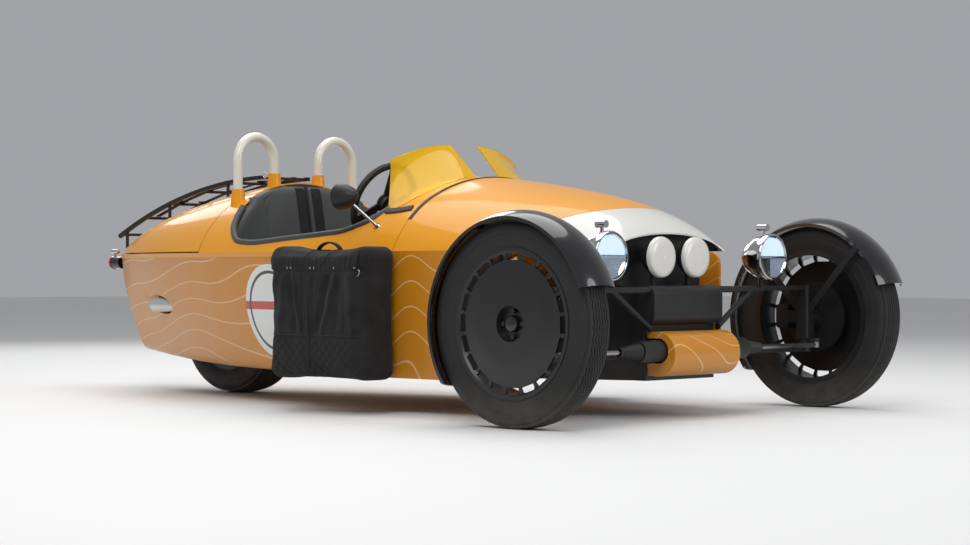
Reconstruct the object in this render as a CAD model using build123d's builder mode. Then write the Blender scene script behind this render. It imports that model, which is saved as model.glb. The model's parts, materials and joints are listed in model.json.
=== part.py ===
import os
from math import cos, radians, sin

from build123d import *

os.makedirs("parts", exist_ok=True)

# Open two-seat three-wheeler: two steered front wheels, one driven rear wheel.
# Millimetres, +X forward, +Y to the car's left, +Z up, floor at Z = 0.

# Overall sizes
WHEELBASE = 2390.0
FRONT_TRACK = 1680.0

# Front wheels
FRONT_TYRE_R = 346.0
FRONT_TYRE_W = 118.0
FRONT_TREAD_W = 88.0
FRONT_RIM_R = 252.0
FRONT_BEAD_R = 240.0
FRONT_BEAD_W = 92.0
RIM_FLANGE = 6.0
DISC_SLOTS = 20
SLOT_R = 221.0
SLOT_DEPTH = 22.0
SLOT_WIDTH = 57.0
HUB_RECESS_R = 60.0
FACE_OUT = 56.0
FACE_MID = 53.0
FACE_RIM = 42.0
FACE_MID_R = 150.0
FACE_T = 6.0
WEB_OUT = 16.0
RIM_T = 7.0
SPINDLE_R = 20.0

# Rear wheel
REAR_TYRE_R = 305.0
REAR_TYRE_W = 185.0
REAR_TREAD_W = 150.0
REAR_RIM_R = 205.0
REAR_BEAD_R = 193.0
REAR_BEAD_W = 150.0
REAR_AXLE_R = 14.0
REAR_HUB_HALF = 85.0
REAR_HUB_R = 40.0
REAR_WEB_R = 46.0
REAR_WEB_IN = 10.0
REAR_WEB_OUT = 30.0
REAR_RIM_T = 12.0
REAR_WEB_EDGE = 20.0

# Clearances
RUN_FIT = 0.08
SEAT_GAP = 0.3
SEAM = 3.0
LID_GAP = 5.0

# Steering
KINGPIN_Y = 762.0
KINGPIN_PIN_R = 10.0
UPPER_BALL_Z = 455.0
LOWER_BALL_Z = 222.0
BALL_EYE_H = 16.0
BALL_EYE_R = 24.0
RACK_AHEAD = 50.0
RACK_Z = 240.0
RACK_R = 38.0
RACK_HALF = 300.0
TIE_ROD_R = 9.0
TIE_END_R = 15.0
TIE_END_H = 20.0
ARM_T = 14.0

# Front mudguards
GUARD_R = 376.0
GUARD_W = 168.0
GUARD_T = 4.0
GUARD_DROP = 22.0
GUARD_LIP = 12.0
GUARD_FRONT_DEG = 20.0
GUARD_SWEEP_DEG = 195.0
STAY_DEGS = (48.0, 132.0)
STAY_W = 24.0
STAY_T = 8.0

# Rear wheel bay and floor pads
WHEEL_HOUSE_R = 362.0
WHEEL_HOUSE_T = 8.0
WHEEL_HOUSE_HALF = 130.0
WHEEL_HOUSE_FOOT = 240.0
WHEEL_SLOT_HALF = 118.0
WHEEL_SLOT_TOP = 230.0
BOOT_FLOOR_Z = 556.0
BOOT_FLOOR_T = 10.0
SWING_ARM_Y = 106.0
SWING_ARM_T = 12.0
SWING_ARM_H = 46.0
SWING_PIVOT_AHEAD = 328.0
SWING_PIVOT_R = 14.0
JACK_PADS = (700.0, 1700.0)
JACK_PAD_Y = 360.0
JACK_PAD_R = 30.0
JACK_PAD_Z = 122.0
JACK_PAD_H = 18.0

# Boot lid hinge
HINGE_BACK = 3152.0
HINGE_Z = 602.0
HINGE_PIN_R = 5.0
HINGE_EYE_R = 10.0
HINGE_GAP_R = 13.0
HINGE_MID = 12.0
HINGE_HALF = 22.0
HINGE_DROP = 34.0
HINGE_FOOT = 40.0

# Cockpit edge seen from the side: distance behind the front axle, height
COCKPIT_EDGE = (
    (985.0, 1200.0), (985.0, 880.0), (1065.0, 715.0), (1200.0, 667.0), (1700.0, 629.0),
    (1830.0, 636.0), (1915.0, 700.0), (2005.0, 850.0), (2005.0, 1200.0),
)
COCKPIT_EDGE_R = 60.0
COCKPIT_ROUND_BELOW = 720.0

# Roll hoops
HOOP_BACK = 2042.0
HOOP_Y = 221.0
HOOP_HALF = 98.0
HOOP_TUBE_R = 19.5
HOOP_TOP_Z = 1088.0
HOOP_FOOT_Z = 640.0
COLLAR_FOOT_R = 33.0
COLLAR_TOP_R = 25.0
COLLAR_H = 100.0
COLLAR_INNER_Z = 822.0
COLLAR_OUTER_Z = 752.0

# Cockpit
BULKHEAD_T = 12.0
DASH_BACK = 950.0
DASH_T = 14.0
DASH_LOW_Z = 640.0
GAUGE_R = 44.0
GAUGE_Y = 52.0
GAUGE_Z = 790.0
GAUGE_DEEP = 34.0
SEAT_Y = 250.0
SEAT_W = 372.0
SEAT_FRONT = 1400.0
SEAT_REAR = 1830.0
SEAT_TOP_Z = 320.0
SEAT_R = 40.0
BACK_T = 120.0
BACK_LOW = 1850.0
BACK_HIGH = 1945.0
BACK_LOW_Z = 160.0
BACK_HIGH_Z = 812.0
WHEEL_BACK = 1290.0
WHEEL_Y = -220.0
WHEEL_Z = 785.0
WHEEL_R = 165.0
WHEEL_GRIP_R = 14.0
WHEEL_GRIP_SIDES = 8
WHEEL_TILT = 22.0
COLUMN_R = 26.0
SHAFT_R = 12.0

# Engine, one plain block
ENGINE_LONG = 380.0
ENGINE_HALF = 170.0
ENGINE_LOW_Z = 170.0
ENGINE_HIGH_Z = 620.0

# Side blades and soft panniers
BLADE_FRONT = 265.0
BLADE_REAR = 1280.0
BLADE_Y = 582.0
BLADE_T = 14.0
BLADE_LOW_Z = 130.0
BLADE_HIGH_Z = 592.0
BLADE_CORNER_R = 45.0
BLADE_STUDS = ((520.0, 260.0), (520.0, 470.0), (1200.0, 260.0), (1200.0, 470.0))
BLADE_STUD_R = 14.0
BAG_FRONT = 840.0
BAG_REAR = 1300.0
BAG_DEEP = 190.0
BAG_LOW_Z = 128.0
BAG_HIGH_Z = 612.0
BAG_R = 40.0

# Front casting, bumper and rack
CASTING_LOW_Z = 134.0
CASTING_TRAY_Z = 150.0
CASTING_HIGH_Z = 468.0
CASTING_BEAM_Z = 330.0
CASTING_FRONT_HALF = 195.0
CASTING_REAR_HALF = 330.0
CASTING_STRAIGHT = 60.0
CASTING_R = 36.0
BEAM_AHEAD = 40.0
TRAY_HALF = 250.0
GRILLE_BACK = 100.0
GRILLE_T = 12.0
GRILLE_HALF = 240.0
BUMPER_HALF = 186.0
BUMPER_LOW_Z = 152.0
BUMPER_HIGH_Z = 306.0
BUMPER_AHEAD = 125.0
BUMPER_LIP = 30.0
BUMPER_T = 6.0
BUMPER_NOTCH = 44.0
SADDLE_Y = 120.0
SADDLE_W = 40.0

# Wishbones
WISHBONE_W = 30.0
UPPER_PIVOTS = ((40.0, 180.0), (290.0, 240.0))
LOWER_PIVOTS = ((10.0, 180.0), (330.0, 240.0))

# Knuckles and brakes
UPRIGHT_IN = 27.0
UPRIGHT_OUT = 28.0
UPRIGHT_HALF = 28.0
UPRIGHT_LOW_Z = 262.0
NECK_R = 22.0
HUB_SHOULDER_R = 34.0
HUB_IN = 30.0
HUB_OUT = 30.0
HUB_R = 44.0
BRAKE_R = 132.0
BRAKE_IN = 14.0
BRAKE_T = 12.0
CALIPER_BACK = (92.0, 150.0)
CALIPER_Z = (300.0, 392.0)
CALIPER_Y = (-60.0, 10.0)
CALIPER_GAP = 5.0

# Lamps

# Bowl of a lamp: share of its depth behind the rim, share of its radius
BOWL_STEPS = ((0.34, 0.92), (0.66, 0.70), (0.88, 0.42), (1.0, 0.16))

HEAD_Y = 460.0
HEAD_AHEAD = 65.0
HEAD_Z = 570.0
HEAD_R = 86.0
HEAD_DEEP = 128.0
HEAD_RIM = 14.0
HEAD_LENS_R = 78.0
HEAD_LENS_T = 10.0
HEAD_STEM_R = 11.0
HEAD_STEM_AHEAD = 16.0
HEAD_ARM_Z = 452.0
HEAD_BRACE_Z = 300.0
HEAD_BRACE_Y = 400.0
SPOT_Y = 98.0
SPOT_AHEAD = 10.0
SPOT_Z = 568.0
SPOT_R = 73.0
SPOT_COVER_T = 26.0
SPOT_DEEP = 92.0
SPOT_STEP = 5.0
SPOT_CHAMFER = 8.0
SPOT_DISH = 2.0
SPOT_POST_R = 10.0
BLINK_R = 13.0
BLINK_LONG = 42.0
BLINK_Z = 680.0
TAIL_LAMP_Y = 50.0
TAIL_LAMP_Z = 556.0
TAIL_LAMP_R = 30.0
TAIL_LAMP_OUT = 87.68
TAIL_LENS_T = 20.0
TAIL_BODY_LONG = 56.0
TAIL_STEM_R = 11.0
TAIL_BLINK_R = 10.0
TAIL_BLINK_Z = 606.0
TAIL_BLINK_Y = 66.0

# Number plate holder and exhaust
PLATE_HALF = 60.0
PLATE_LOW_Z = 314.0
PLATE_HIGH_Z = 467.0
PLATE_BACK = 3048.0
EXHAUST_Y = -300.0
EXHAUST_Z = 377.0
EXHAUST_R = 31.0
EXHAUST_T = 3.0
EXHAUST_DEEP = 60.0
EXHAUST_BACK = 2605.0
EXHAUST_CUT_R = 40.0

# Mirrors
MIRROR_FOOT = (1030.0, 487.0, 672.0)
MIRROR_HEAD = (1097.0, 610.0, 795.0)
MIRROR_R = 49.0
MIRROR_LONG = 92.0
MIRROR_STEM_R = 6.0
MIRROR_GLASS_T = 4.0
MIRROR_FOOT_R = 16.0
MIRROR_BACK = 24.0
MIRROR_RIM = 4.0

# Aero screens
SCREEN_T = 5.0
SCREEN_LOW_Z = 700.0
SCREEN_HIGH_Z = 1010.0
SCREEN_INNER = (985.0, 32.0)
SCREEN_MID = (915.0, 225.0)
SCREEN_OUTER = (1105.0, 445.0)
SCREEN_RAKE = 0.32
SCREEN_CORNER_R = 45.0

# Outline of a screen seen from the front: distance from the middle, height
SCREEN_OUTLINE = ((20.0, 600.0), (20.0, 868.0), (98.0, 972.0), (338.0, 978.0), (452.0, 905.0), (452.0, 600.0))

# Luggage rack over the boot lid: distance behind the front axle, height
RACK_RAIL = ((2110.0, 908.0), (2600.0, 842.0), (3070.0, 672.0))
RACK_RAIL_Y = 130.0
RACK_RAIL_R = 8.0
RACK_BAR_R = 6.5
RACK_BARS_AT = (0.02, 0.22, 0.42, 0.62, 0.80, 0.98)
RACK_FEET_AT = (0.22, 0.62, 0.94)
RACK_FOOT_R = 7.0

# Body shell
BELT_Z = 592.0
MOULDING_H = 18.0
MOULDING_OUT = 4.0
PANEL_T = 6.0
TUB_WALL = 16.0
TUB_FLOOR = 14.0
TUB_CORNER_R = 45.0
SHOULDER_OUT = 0.62
SHOULDER_UP = 0.72
TUB_FRONT = 430.0
SCUTTLE_SEAM = 900.0
BOOT_SEAM = 2082.0
NOSE_LIP = 50.0
NOSE_SEAM_R = 620.0
NOSE_SEAM_FRONT = 190.0
TAIL = 3140.0
TAIL_FOOT_IN = 243.0
TAIL_FOOT = TAIL - TAIL_FOOT_IN
TAIL_FOOT_Z = 189.0
TAIL_MID_IN = 134.0
TAIL_MID = TAIL - TAIL_MID_IN
TAIL_MID_Z = 396.0

# Upper sections: distance behind the front axle, half width at the belt, crown height
UPPER_SECTIONS = (
    (NOSE_LIP, 330.0, 657.0),
    (240.0, 436.0, 766.0),
    (500.0, 508.0, 824.0),
    (SCUTTLE_SEAM, 558.0, 878.0),
    (1450.0, 566.0, 893.0),
    (2042.0, 505.0, 884.0),
    (2450.0, 405.0, 828.0),
    (2800.0, 275.0, 748.0),
    (3000.0, 168.0, 672.0),
    (TAIL, 62.0, 616.0),
)

# Lower sections: distance behind the front axle, half width at the belt, half width and height at the sill
LOWER_SECTIONS = (
    (TUB_FRONT, 493.0, 430.0, 140.0),
    (600.0, 525.0, 459.0, 136.0),
    (750.0, 545.0, 479.0, 134.0),
    (SCUTTLE_SEAM, 558.0, 490.0, 132.0),
    (1175.0, 569.0, 494.0, 131.0),
    (1450.0, 566.0, 490.0, 130.0),
    (1650.0, 555.0, 470.0, 130.0),
    (1850.0, 534.0, 434.0, 132.0),
    (2042.0, 505.0, 390.0, 134.0),
    (2250.0, 460.0, 333.0, 140.0),
    (2450.0, 405.0, 270.0, 148.0),
    (2630.0, 345.0, 210.0, 157.0),
    (2800.0, 275.0, 155.0, 168.0),
    (2900.0, 226.0, 128.0, 175.0),
    (3000.0, 168.0, 100.0, 182.0),
    (3070.0, 119.0, 76.0, 186.0),
    (TAIL, 62.0, 50.0, 190.0),
)

FRONT_REACH = GUARD_R * cos(radians(GUARD_FRONT_DEG))
OVERALL_LENGTH = FRONT_REACH + TAIL + TAIL_LAMP_OUT
FRONT_AXLE_X = OVERALL_LENGTH / 2 - FRONT_REACH
REAR_AXLE_X = FRONT_AXLE_X - WHEELBASE
FRONT_HUB_Y = FRONT_TRACK / 2
SIDES = (("right", -1), ("left", 1))


def behind(distance):
    """X of a point that lies this far behind the front axle."""
    return FRONT_AXLE_X - distance


def cross_plane(x, y=0.0, z=0.0):
    """Plane across the car: local x is Y, local y is Z."""
    return Plane(origin=(x, y, z), x_dir=(0, 1, 0), z_dir=(1, 0, 0))


def side_plane(y):
    """Plane along the car: local x is X, local y is Z."""
    return Plane(origin=(0, y, 0), x_dir=(1, 0, 0), z_dir=(0, -1, 0))


def keep(piece, label):
    piece.part.label = label
    export_step(piece.part, f"parts/{label}.step")


def arch_section(distance, half_width, crown, inset, skirt):
    """One closed arch across the upper body: a crown arc and two tangent side arcs over the belt."""
    width = half_width - 1.3 * inset
    top = crown - inset
    foot = BELT_Z - skirt
    shoulder_y = SHOULDER_OUT * width
    shoulder_z = BELT_Z + SHOULDER_UP * (top - BELT_Z)
    rise = top - shoulder_z
    crown_r = (shoulder_y**2 + rise**2) / (2 * rise)
    slope = (shoulder_z - top + crown_r, -shoulder_y)
    with BuildSketch(cross_plane(behind(distance))) as section:
        with BuildLine():
            ThreePointArc((-shoulder_y, shoulder_z), (0, top), (shoulder_y, shoulder_z))
            TangentArc((shoulder_y, shoulder_z), (width, foot), tangent=slope)
            Line((width, foot), (-width, foot))
            TangentArc((-shoulder_y, shoulder_z), (-width, foot), tangent=(-slope[0], slope[1]))
        make_face()
    return section.sketch


def upper_form(inset=0.0, skirt=0.0, tail_back=0.0):
    """Solid inside the upper body, shrunk by inset; its tail end stops tail_back short."""
    with BuildPart() as form:
        loft(
            [
                arch_section(min(d, TAIL - tail_back), w, c, inset, skirt)
                for d, w, c in UPPER_SECTIONS
            ]
        )
    return form.part


def sill_section(distance, half_width, sill_width, sill_z, inset, floor, top):
    """One closed tub section: belt line, leaning sides and rounded sill corners."""
    with BuildSketch(cross_plane(behind(distance))) as section:
        Polygon(
            (-half_width + inset, top),
            (-sill_width + inset, sill_z + floor),
            (sill_width - inset, sill_z + floor),
            (half_width - inset, top),
            align=None,
        )
        low = section.vertices().group_by(Axis.Y)[0]
        fillet(low, min(TUB_CORNER_R, 0.6 * sill_width) - min(inset, 0.4 * TUB_CORNER_R))
    return section.sketch


def lower_form(inset=0.0, floor=0.0, top=BELT_Z, front_in=0.0, tail_in=0.0):
    """Solid inside the lower body, shrunk by inset at the sides and floor underneath."""
    last = len(LOWER_SECTIONS) - 1
    with BuildPart() as form:
        loft(
            [
                sill_section(
                    d + (front_in if n == 0 else 0.0) - (tail_in if n == last else 0.0),
                    w, s, z, inset, floor, top,
                )
                for n, (d, w, s, z) in enumerate(LOWER_SECTIONS)
            ],
            ruled=True,
        )
    return form.part


def slab(x_low, x_high, y_low, y_high, z_low, z_high):
    """Plain block between two corners, private to the caller."""
    block = Box(
        x_high - x_low, y_high - y_low, z_high - z_low,
        align=(Align.MIN, Align.MIN, Align.MIN), mode=Mode.PRIVATE,
    )
    return Pos(x_low, y_low, z_low) * block


def y_axis(x, y, z):
    """Axis along Y through a point."""
    return Axis((x, y, z), (0, 1, 0))


def spin_plane(x, y, z, angle=90.0):
    """Half plane through a Y axis: local x runs along Y, local y runs out at this angle above +X."""
    out = (cos(radians(angle)), sin(radians(angle)))
    return Plane(origin=(x, y, z), x_dir=(0, 1, 0), z_dir=(out[1], 0, -out[0]))


FAR = 2 * OVERALL_LENGTH

# Tail cutter: everything behind the raked trailing edge
with BuildPart() as tail_cut:
    with BuildSketch(side_plane(FAR / 2)):
        with BuildLine():
            ThreePointArc(
                (behind(TAIL), BELT_Z + 1), (behind(TAIL_MID), TAIL_MID_Z), (behind(TAIL_FOOT), TAIL_FOOT_Z)
            )
            Line((behind(TAIL_FOOT), TAIL_FOOT_Z), (behind(TAIL_FOOT - 30), 0))
            Line((behind(TAIL_FOOT - 30), 0), (behind(TAIL + 400), 0))
            Line((behind(TAIL + 400), 0), (behind(TAIL + 400), BELT_Z + 1))
            Line((behind(TAIL + 400), BELT_Z + 1), (behind(TAIL), BELT_Z + 1))
        make_face()
    extrude(amount=FAR)

# Lower body as a full solid, its hollow, and the room left inside it for fitted panels
with BuildPart() as tub_block:
    add(lower_form())
    add(tail_cut.part, mode=Mode.SUBTRACT)

with BuildPart() as tail_wall_cut:
    add(tail_cut.part)
    add(Pos(1.6 * TUB_WALL, 0, 0) * tail_cut.part)

with BuildPart() as tub_hollow:
    add(lower_form(TUB_WALL, TUB_FLOOR, BELT_Z + 4, TUB_WALL, 3 * TUB_WALL))
    add(tail_wall_cut.part, mode=Mode.SUBTRACT)

tub_room = lower_form(
    TUB_WALL + SEAT_GAP, TUB_FLOOR + SEAT_GAP, BELT_Z + 4, TUB_WALL + SEAT_GAP, 3 * TUB_WALL + SEAT_GAP
)

# Upper body as one shell, later cut into its panels
upper_room = upper_form(PANEL_T + SEAT_GAP, 4.0, 20.0) & slab(-FAR, FAR, -FAR, FAR, BELT_Z, FAR)
with BuildPart() as upper_shell:
    add(upper_form())
    add(upper_form(PANEL_T, 4.0, 14.0), mode=Mode.SUBTRACT)

# Lower tub with belt moulding, rear wheel slot, jacking pads and the pin of the boot lid
with BuildPart() as tub:
    add(tub_block.part)
    add(slab(-FAR, FAR, -FAR, FAR, BELT_Z - MOULDING_H, FAR), mode=Mode.SUBTRACT)
    add(lower_form(-MOULDING_OUT) & slab(-FAR, FAR, -FAR, FAR, BELT_Z - MOULDING_H, BELT_Z))
    add(tub_hollow.part, mode=Mode.SUBTRACT)
    add(
        slab(
            REAR_AXLE_X - WHEEL_HOUSE_R, REAR_AXLE_X + WHEEL_HOUSE_R,
            -WHEEL_SLOT_HALF, WHEEL_SLOT_HALF, 0, WHEEL_SLOT_TOP,
        ),
        mode=Mode.SUBTRACT,
    )
    with BuildSketch(Plane(origin=(behind(EXHAUST_BACK + 120), EXHAUST_Y, EXHAUST_Z), z_dir=(1, 0, 0))):
        Circle(EXHAUST_CUT_R)
    extrude(amount=360, mode=Mode.SUBTRACT)
    with Locations(*[(behind(d), y, JACK_PAD_Z) for d in JACK_PADS for y in (-JACK_PAD_Y, JACK_PAD_Y)]):
        Cylinder(JACK_PAD_R, JACK_PAD_H, align=(Align.CENTER, Align.CENTER, Align.MIN))
    with BuildSketch(side_plane(HINGE_HALF)):
        with Locations((behind(HINGE_BACK), HINGE_Z)):
            Circle(HINGE_EYE_R)
        with Locations((behind(HINGE_BACK), HINGE_Z)):
            Rectangle(2 * HINGE_EYE_R, HINGE_DROP, align=(Align.CENTER, Align.MAX))
        with Locations((behind(HINGE_BACK), HINGE_Z - HINGE_DROP)):
            Rectangle(HINGE_FOOT, 2 * HINGE_EYE_R, align=(Align.MIN, Align.MIN))
    extrude(amount=2 * HINGE_HALF)
    add(
        slab(
            behind(HINGE_BACK + 2 * HINGE_EYE_R), behind(HINGE_BACK - HINGE_GAP_R),
            -HINGE_MID - 1, HINGE_MID + 1, HINGE_Z - HINGE_GAP_R, FAR,
        ),
        mode=Mode.SUBTRACT,
    )
    with BuildSketch(side_plane(HINGE_HALF)):
        with Locations((behind(HINGE_BACK), HINGE_Z)):
            Circle(HINGE_PIN_R)
    extrude(amount=2 * HINGE_HALF)
keep(tub, "tub")

HOOP_LEGS = [
    (side * (HOOP_Y + step * HOOP_HALF), z)
    for side in (-1, 1)
    for step, z in ((-1, COLLAR_INNER_Z), (1, COLLAR_OUTER_Z))
]

# Cockpit surround: upper shell between the scuttle and the boot lid, with the cockpit cut and hoop collars
with BuildPart() as cockpit_surround:
    add(upper_shell.part & slab(behind(BOOT_SEAM - LID_GAP), behind(SCUTTLE_SEAM), -FAR, FAR, 0, FAR))
    with BuildSketch(side_plane(FAR / 2)) as cockpit_cut:
        with BuildLine():
            Polyline(*[(behind(d), z) for d, z in COCKPIT_EDGE], close=True)
        make_face()
        corners = cockpit_cut.vertices().filter_by(lambda v: v.Y < COCKPIT_ROUND_BELOW)
        fillet(corners, COCKPIT_EDGE_R)
    extrude(amount=FAR, mode=Mode.SUBTRACT)
    with Locations(*[(behind(HOOP_BACK), y, z) for y, z in HOOP_LEGS]):
        Cone(COLLAR_FOOT_R, COLLAR_TOP_R, COLLAR_H, align=(Align.CENTER, Align.CENTER, Align.MIN))
    add(upper_room, mode=Mode.SUBTRACT)
    with Locations(*[(behind(HOOP_BACK), y, HOOP_FOOT_Z) for y, z in HOOP_LEGS]):
        Cylinder(
            HOOP_TUBE_R + SEAT_GAP, HOOP_TOP_Z - HOOP_FOOT_Z,
            align=(Align.CENTER, Align.CENTER, Align.MIN), mode=Mode.SUBTRACT,
        )
keep(cockpit_surround, "cockpit_surround")

# Bonnet and nose cowl, parted by an arched seam
nose_seam = Pos(behind(NOSE_SEAM_FRONT + NOSE_SEAM_R), 0, 0) * Cylinder(NOSE_SEAM_R, FAR, mode=Mode.PRIVATE)
nose_seam_out = Pos(behind(NOSE_SEAM_FRONT + NOSE_SEAM_R), 0, 0) * Cylinder(
    NOSE_SEAM_R + SEAM, FAR, mode=Mode.PRIVATE
)
with BuildPart() as bonnet:
    add(upper_shell.part & slab(behind(SCUTTLE_SEAM - SEAM), FAR, -FAR, FAR, 0, FAR))
    add(
        nose_seam + slab(-FAR, behind(NOSE_SEAM_FRONT + NOSE_SEAM_R), -FAR, FAR, -FAR, FAR),
        mode=Mode.INTERSECT,
    )
keep(bonnet, "bonnet")

with BuildPart() as nose_cowl:
    add(upper_shell.part & slab(behind(NOSE_SEAM_FRONT + NOSE_SEAM_R), FAR, -FAR, FAR, 0, FAR))
    add(nose_seam_out, mode=Mode.SUBTRACT)
keep(nose_cowl, "nose_cowl")

# Boot lid with its hinge eye
with BuildPart() as boot_lid:
    add(upper_shell.part & slab(-FAR, behind(BOOT_SEAM), -FAR, FAR, BELT_Z + LID_GAP, FAR))
    with BuildSketch(side_plane(HINGE_MID)):
        with Locations((behind(HINGE_BACK), HINGE_Z)):
            Circle(HINGE_EYE_R)
            Rectangle(HINGE_FOOT, HINGE_EYE_R, align=(Align.MIN, Align.MIN))
    extrude(amount=2 * HINGE_MID)
    with BuildSketch(side_plane(HINGE_MID)):
        with Locations((behind(HINGE_BACK), HINGE_Z)):
            Circle(HINGE_PIN_R + RUN_FIT)
    extrude(amount=2 * HINGE_MID, mode=Mode.SUBTRACT)
keep(boot_lid, "boot_lid")

upper_skin = upper_form(-SEAT_GAP)

# Luggage rack: two square rails, round cross bars and feet standing on the lid
with BuildPart() as luggage_rack:
    for side in (-1, 1):
        with BuildLine() as rail:
            ThreePointArc(*[(behind(d), side * RACK_RAIL_Y, z) for d, z in RACK_RAIL])
        with BuildSketch(Plane(origin=rail.line @ 0, x_dir=(0, 1, 0), z_dir=rail.line % 0)):
            Rectangle(2 * RACK_RAIL_R, 2 * RACK_RAIL_R)
        sweep(path=rail.line)
        for at in RACK_FEET_AT:
            spot = rail.line @ at
            with Locations((spot.X, spot.Y, BELT_Z + 2 * SEAM)):
                Cylinder(
                    RACK_FOOT_R, spot.Z - BELT_Z - 2 * SEAM, align=(Align.CENTER, Align.CENTER, Align.MIN)
                )
    for at in RACK_BARS_AT:
        spot = rail.line @ at
        with Locations((spot.X, 0, spot.Z)):
            Cylinder(RACK_BAR_R, 2 * RACK_RAIL_Y, rotation=(90, 0, 0))
    add(upper_skin, mode=Mode.SUBTRACT)
keep(luggage_rack, "luggage_rack")

# Roll hoops through the collars
with BuildPart() as roll_hoops:
    for side in (-1, 1):
        bend_z = HOOP_TOP_Z - HOOP_TUBE_R - HOOP_HALF
        with BuildLine() as hoop:
            Line(
                (behind(HOOP_BACK), side * HOOP_Y - HOOP_HALF, HOOP_FOOT_Z),
                (behind(HOOP_BACK), side * HOOP_Y - HOOP_HALF, bend_z),
            )
            ThreePointArc(
                (behind(HOOP_BACK), side * HOOP_Y - HOOP_HALF, bend_z),
                (behind(HOOP_BACK), side * HOOP_Y, bend_z + HOOP_HALF),
                (behind(HOOP_BACK), side * HOOP_Y + HOOP_HALF, bend_z),
            )
            Line(
                (behind(HOOP_BACK), side * HOOP_Y + HOOP_HALF, bend_z),
                (behind(HOOP_BACK), side * HOOP_Y + HOOP_HALF, HOOP_FOOT_Z),
            )
        with BuildSketch(Plane(origin=hoop.line @ 0, z_dir=hoop.line % 0)):
            Circle(HOOP_TUBE_R)
        sweep(path=hoop.line)
keep(roll_hoops, "roll_hoops")

# Bulkheads: firewall, the wall behind the seats, and the boot floor with the rear wheel house
bulkhead_back = HOOP_BACK - HOOP_TUBE_R - SEAT_GAP
with BuildPart() as bulkheads:
    add(tub_room & slab(behind(DASH_BACK), behind(DASH_BACK - BULKHEAD_T), -FAR, FAR, 0, BELT_Z))
    add(tub_room & slab(behind(bulkhead_back), behind(bulkhead_back - BULKHEAD_T), -FAR, FAR, 0, BELT_Z))
    add(upper_room & slab(behind(bulkhead_back), behind(bulkhead_back - BULKHEAD_T), -FAR, FAR, 0, FAR))
keep(bulkheads, "bulkheads")

with BuildPart() as boot_floor:
    with BuildSketch(side_plane(WHEEL_HOUSE_HALF)):
        with Locations((REAR_AXLE_X, REAR_TYRE_R)):
            Circle(WHEEL_HOUSE_R)
    extrude(amount=2 * WHEEL_HOUSE_HALF)
    add(
        tub_room
        & slab(
            behind(TAIL - 80), behind(bulkhead_back + SEAT_GAP), -FAR, FAR,
            BOOT_FLOOR_Z, BOOT_FLOOR_Z + BOOT_FLOOR_T,
        )
    )
    with BuildSketch(side_plane(WHEEL_HOUSE_HALF - WHEEL_HOUSE_T)):
        with Locations((REAR_AXLE_X, REAR_TYRE_R)):
            Circle(WHEEL_HOUSE_R - WHEEL_HOUSE_T)
    extrude(amount=2 * (WHEEL_HOUSE_HALF - WHEEL_HOUSE_T), mode=Mode.SUBTRACT)
    add(slab(-FAR, FAR, -FAR, FAR, -FAR, WHEEL_HOUSE_FOOT), mode=Mode.SUBTRACT)
    add(slab(behind(bulkhead_back + SEAT_GAP), FAR, -FAR, FAR, -FAR, FAR), mode=Mode.SUBTRACT)
keep(boot_floor, "boot_floor")

# Swing arm: two arms, pivot tube and axle
pivot_x = REAR_AXLE_X + SWING_PIVOT_AHEAD
house_in = WHEEL_HOUSE_HALF - WHEEL_HOUSE_T
with BuildPart() as swing_arm:
    for side in (-1, 1):
        with BuildSketch(side_plane(side * SWING_ARM_Y + SWING_ARM_T / 2)):
            with Locations(((pivot_x + REAR_AXLE_X) / 2, REAR_TYRE_R)):
                SlotCenterToCenter(SWING_PIVOT_AHEAD, SWING_ARM_H)
        extrude(amount=SWING_ARM_T)
    with Locations((pivot_x, 0, REAR_TYRE_R)):
        Cylinder(SWING_PIVOT_R, 2 * house_in, rotation=(90, 0, 0))
    with Locations((REAR_AXLE_X, 0, REAR_TYRE_R)):
        Cylinder(REAR_AXLE_R, 2 * SWING_ARM_Y, rotation=(90, 0, 0))
keep(swing_arm, "swing_arm")

# Engine, one plain block on the front wall of the tub
with BuildPart() as engine_block:
    add(
        slab(
            behind(TUB_FRONT + TUB_WALL + ENGINE_LONG), behind(TUB_FRONT + TUB_WALL),
            -ENGINE_HALF, ENGINE_HALF, ENGINE_LOW_Z, ENGINE_HIGH_Z,
        )
    )
keep(engine_block, "engine_block")

# Dashboard with two gauges and the steering column tube
tilt = radians(WHEEL_TILT)
column = Plane(
    origin=(behind(WHEEL_BACK), WHEEL_Y, WHEEL_Z), x_dir=(0, 1, 0), z_dir=(cos(tilt), 0, -sin(tilt))
)
column_long = (WHEEL_BACK - DASH_BACK) / cos(tilt)
with BuildPart() as dashboard:
    add(upper_room & slab(behind(DASH_BACK + DASH_T), behind(DASH_BACK), -FAR, FAR, DASH_LOW_Z, FAR))
    with Locations(*[(behind(DASH_BACK + DASH_T), y, GAUGE_Z) for y in (-GAUGE_Y, GAUGE_Y)]):
        Cylinder(GAUGE_R, GAUGE_DEEP, rotation=(0, -90, 0), align=(Align.CENTER, Align.CENTER, Align.MIN))
    with BuildSketch(column.offset(2 * COLUMN_R)):
        Circle(COLUMN_R)
    extrude(amount=column_long - 2 * COLUMN_R - DASH_T)
    with BuildSketch(column):
        Circle(SHAFT_R + RUN_FIT)
    extrude(amount=column_long - DASH_T, mode=Mode.SUBTRACT)
keep(dashboard, "dashboard")

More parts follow.
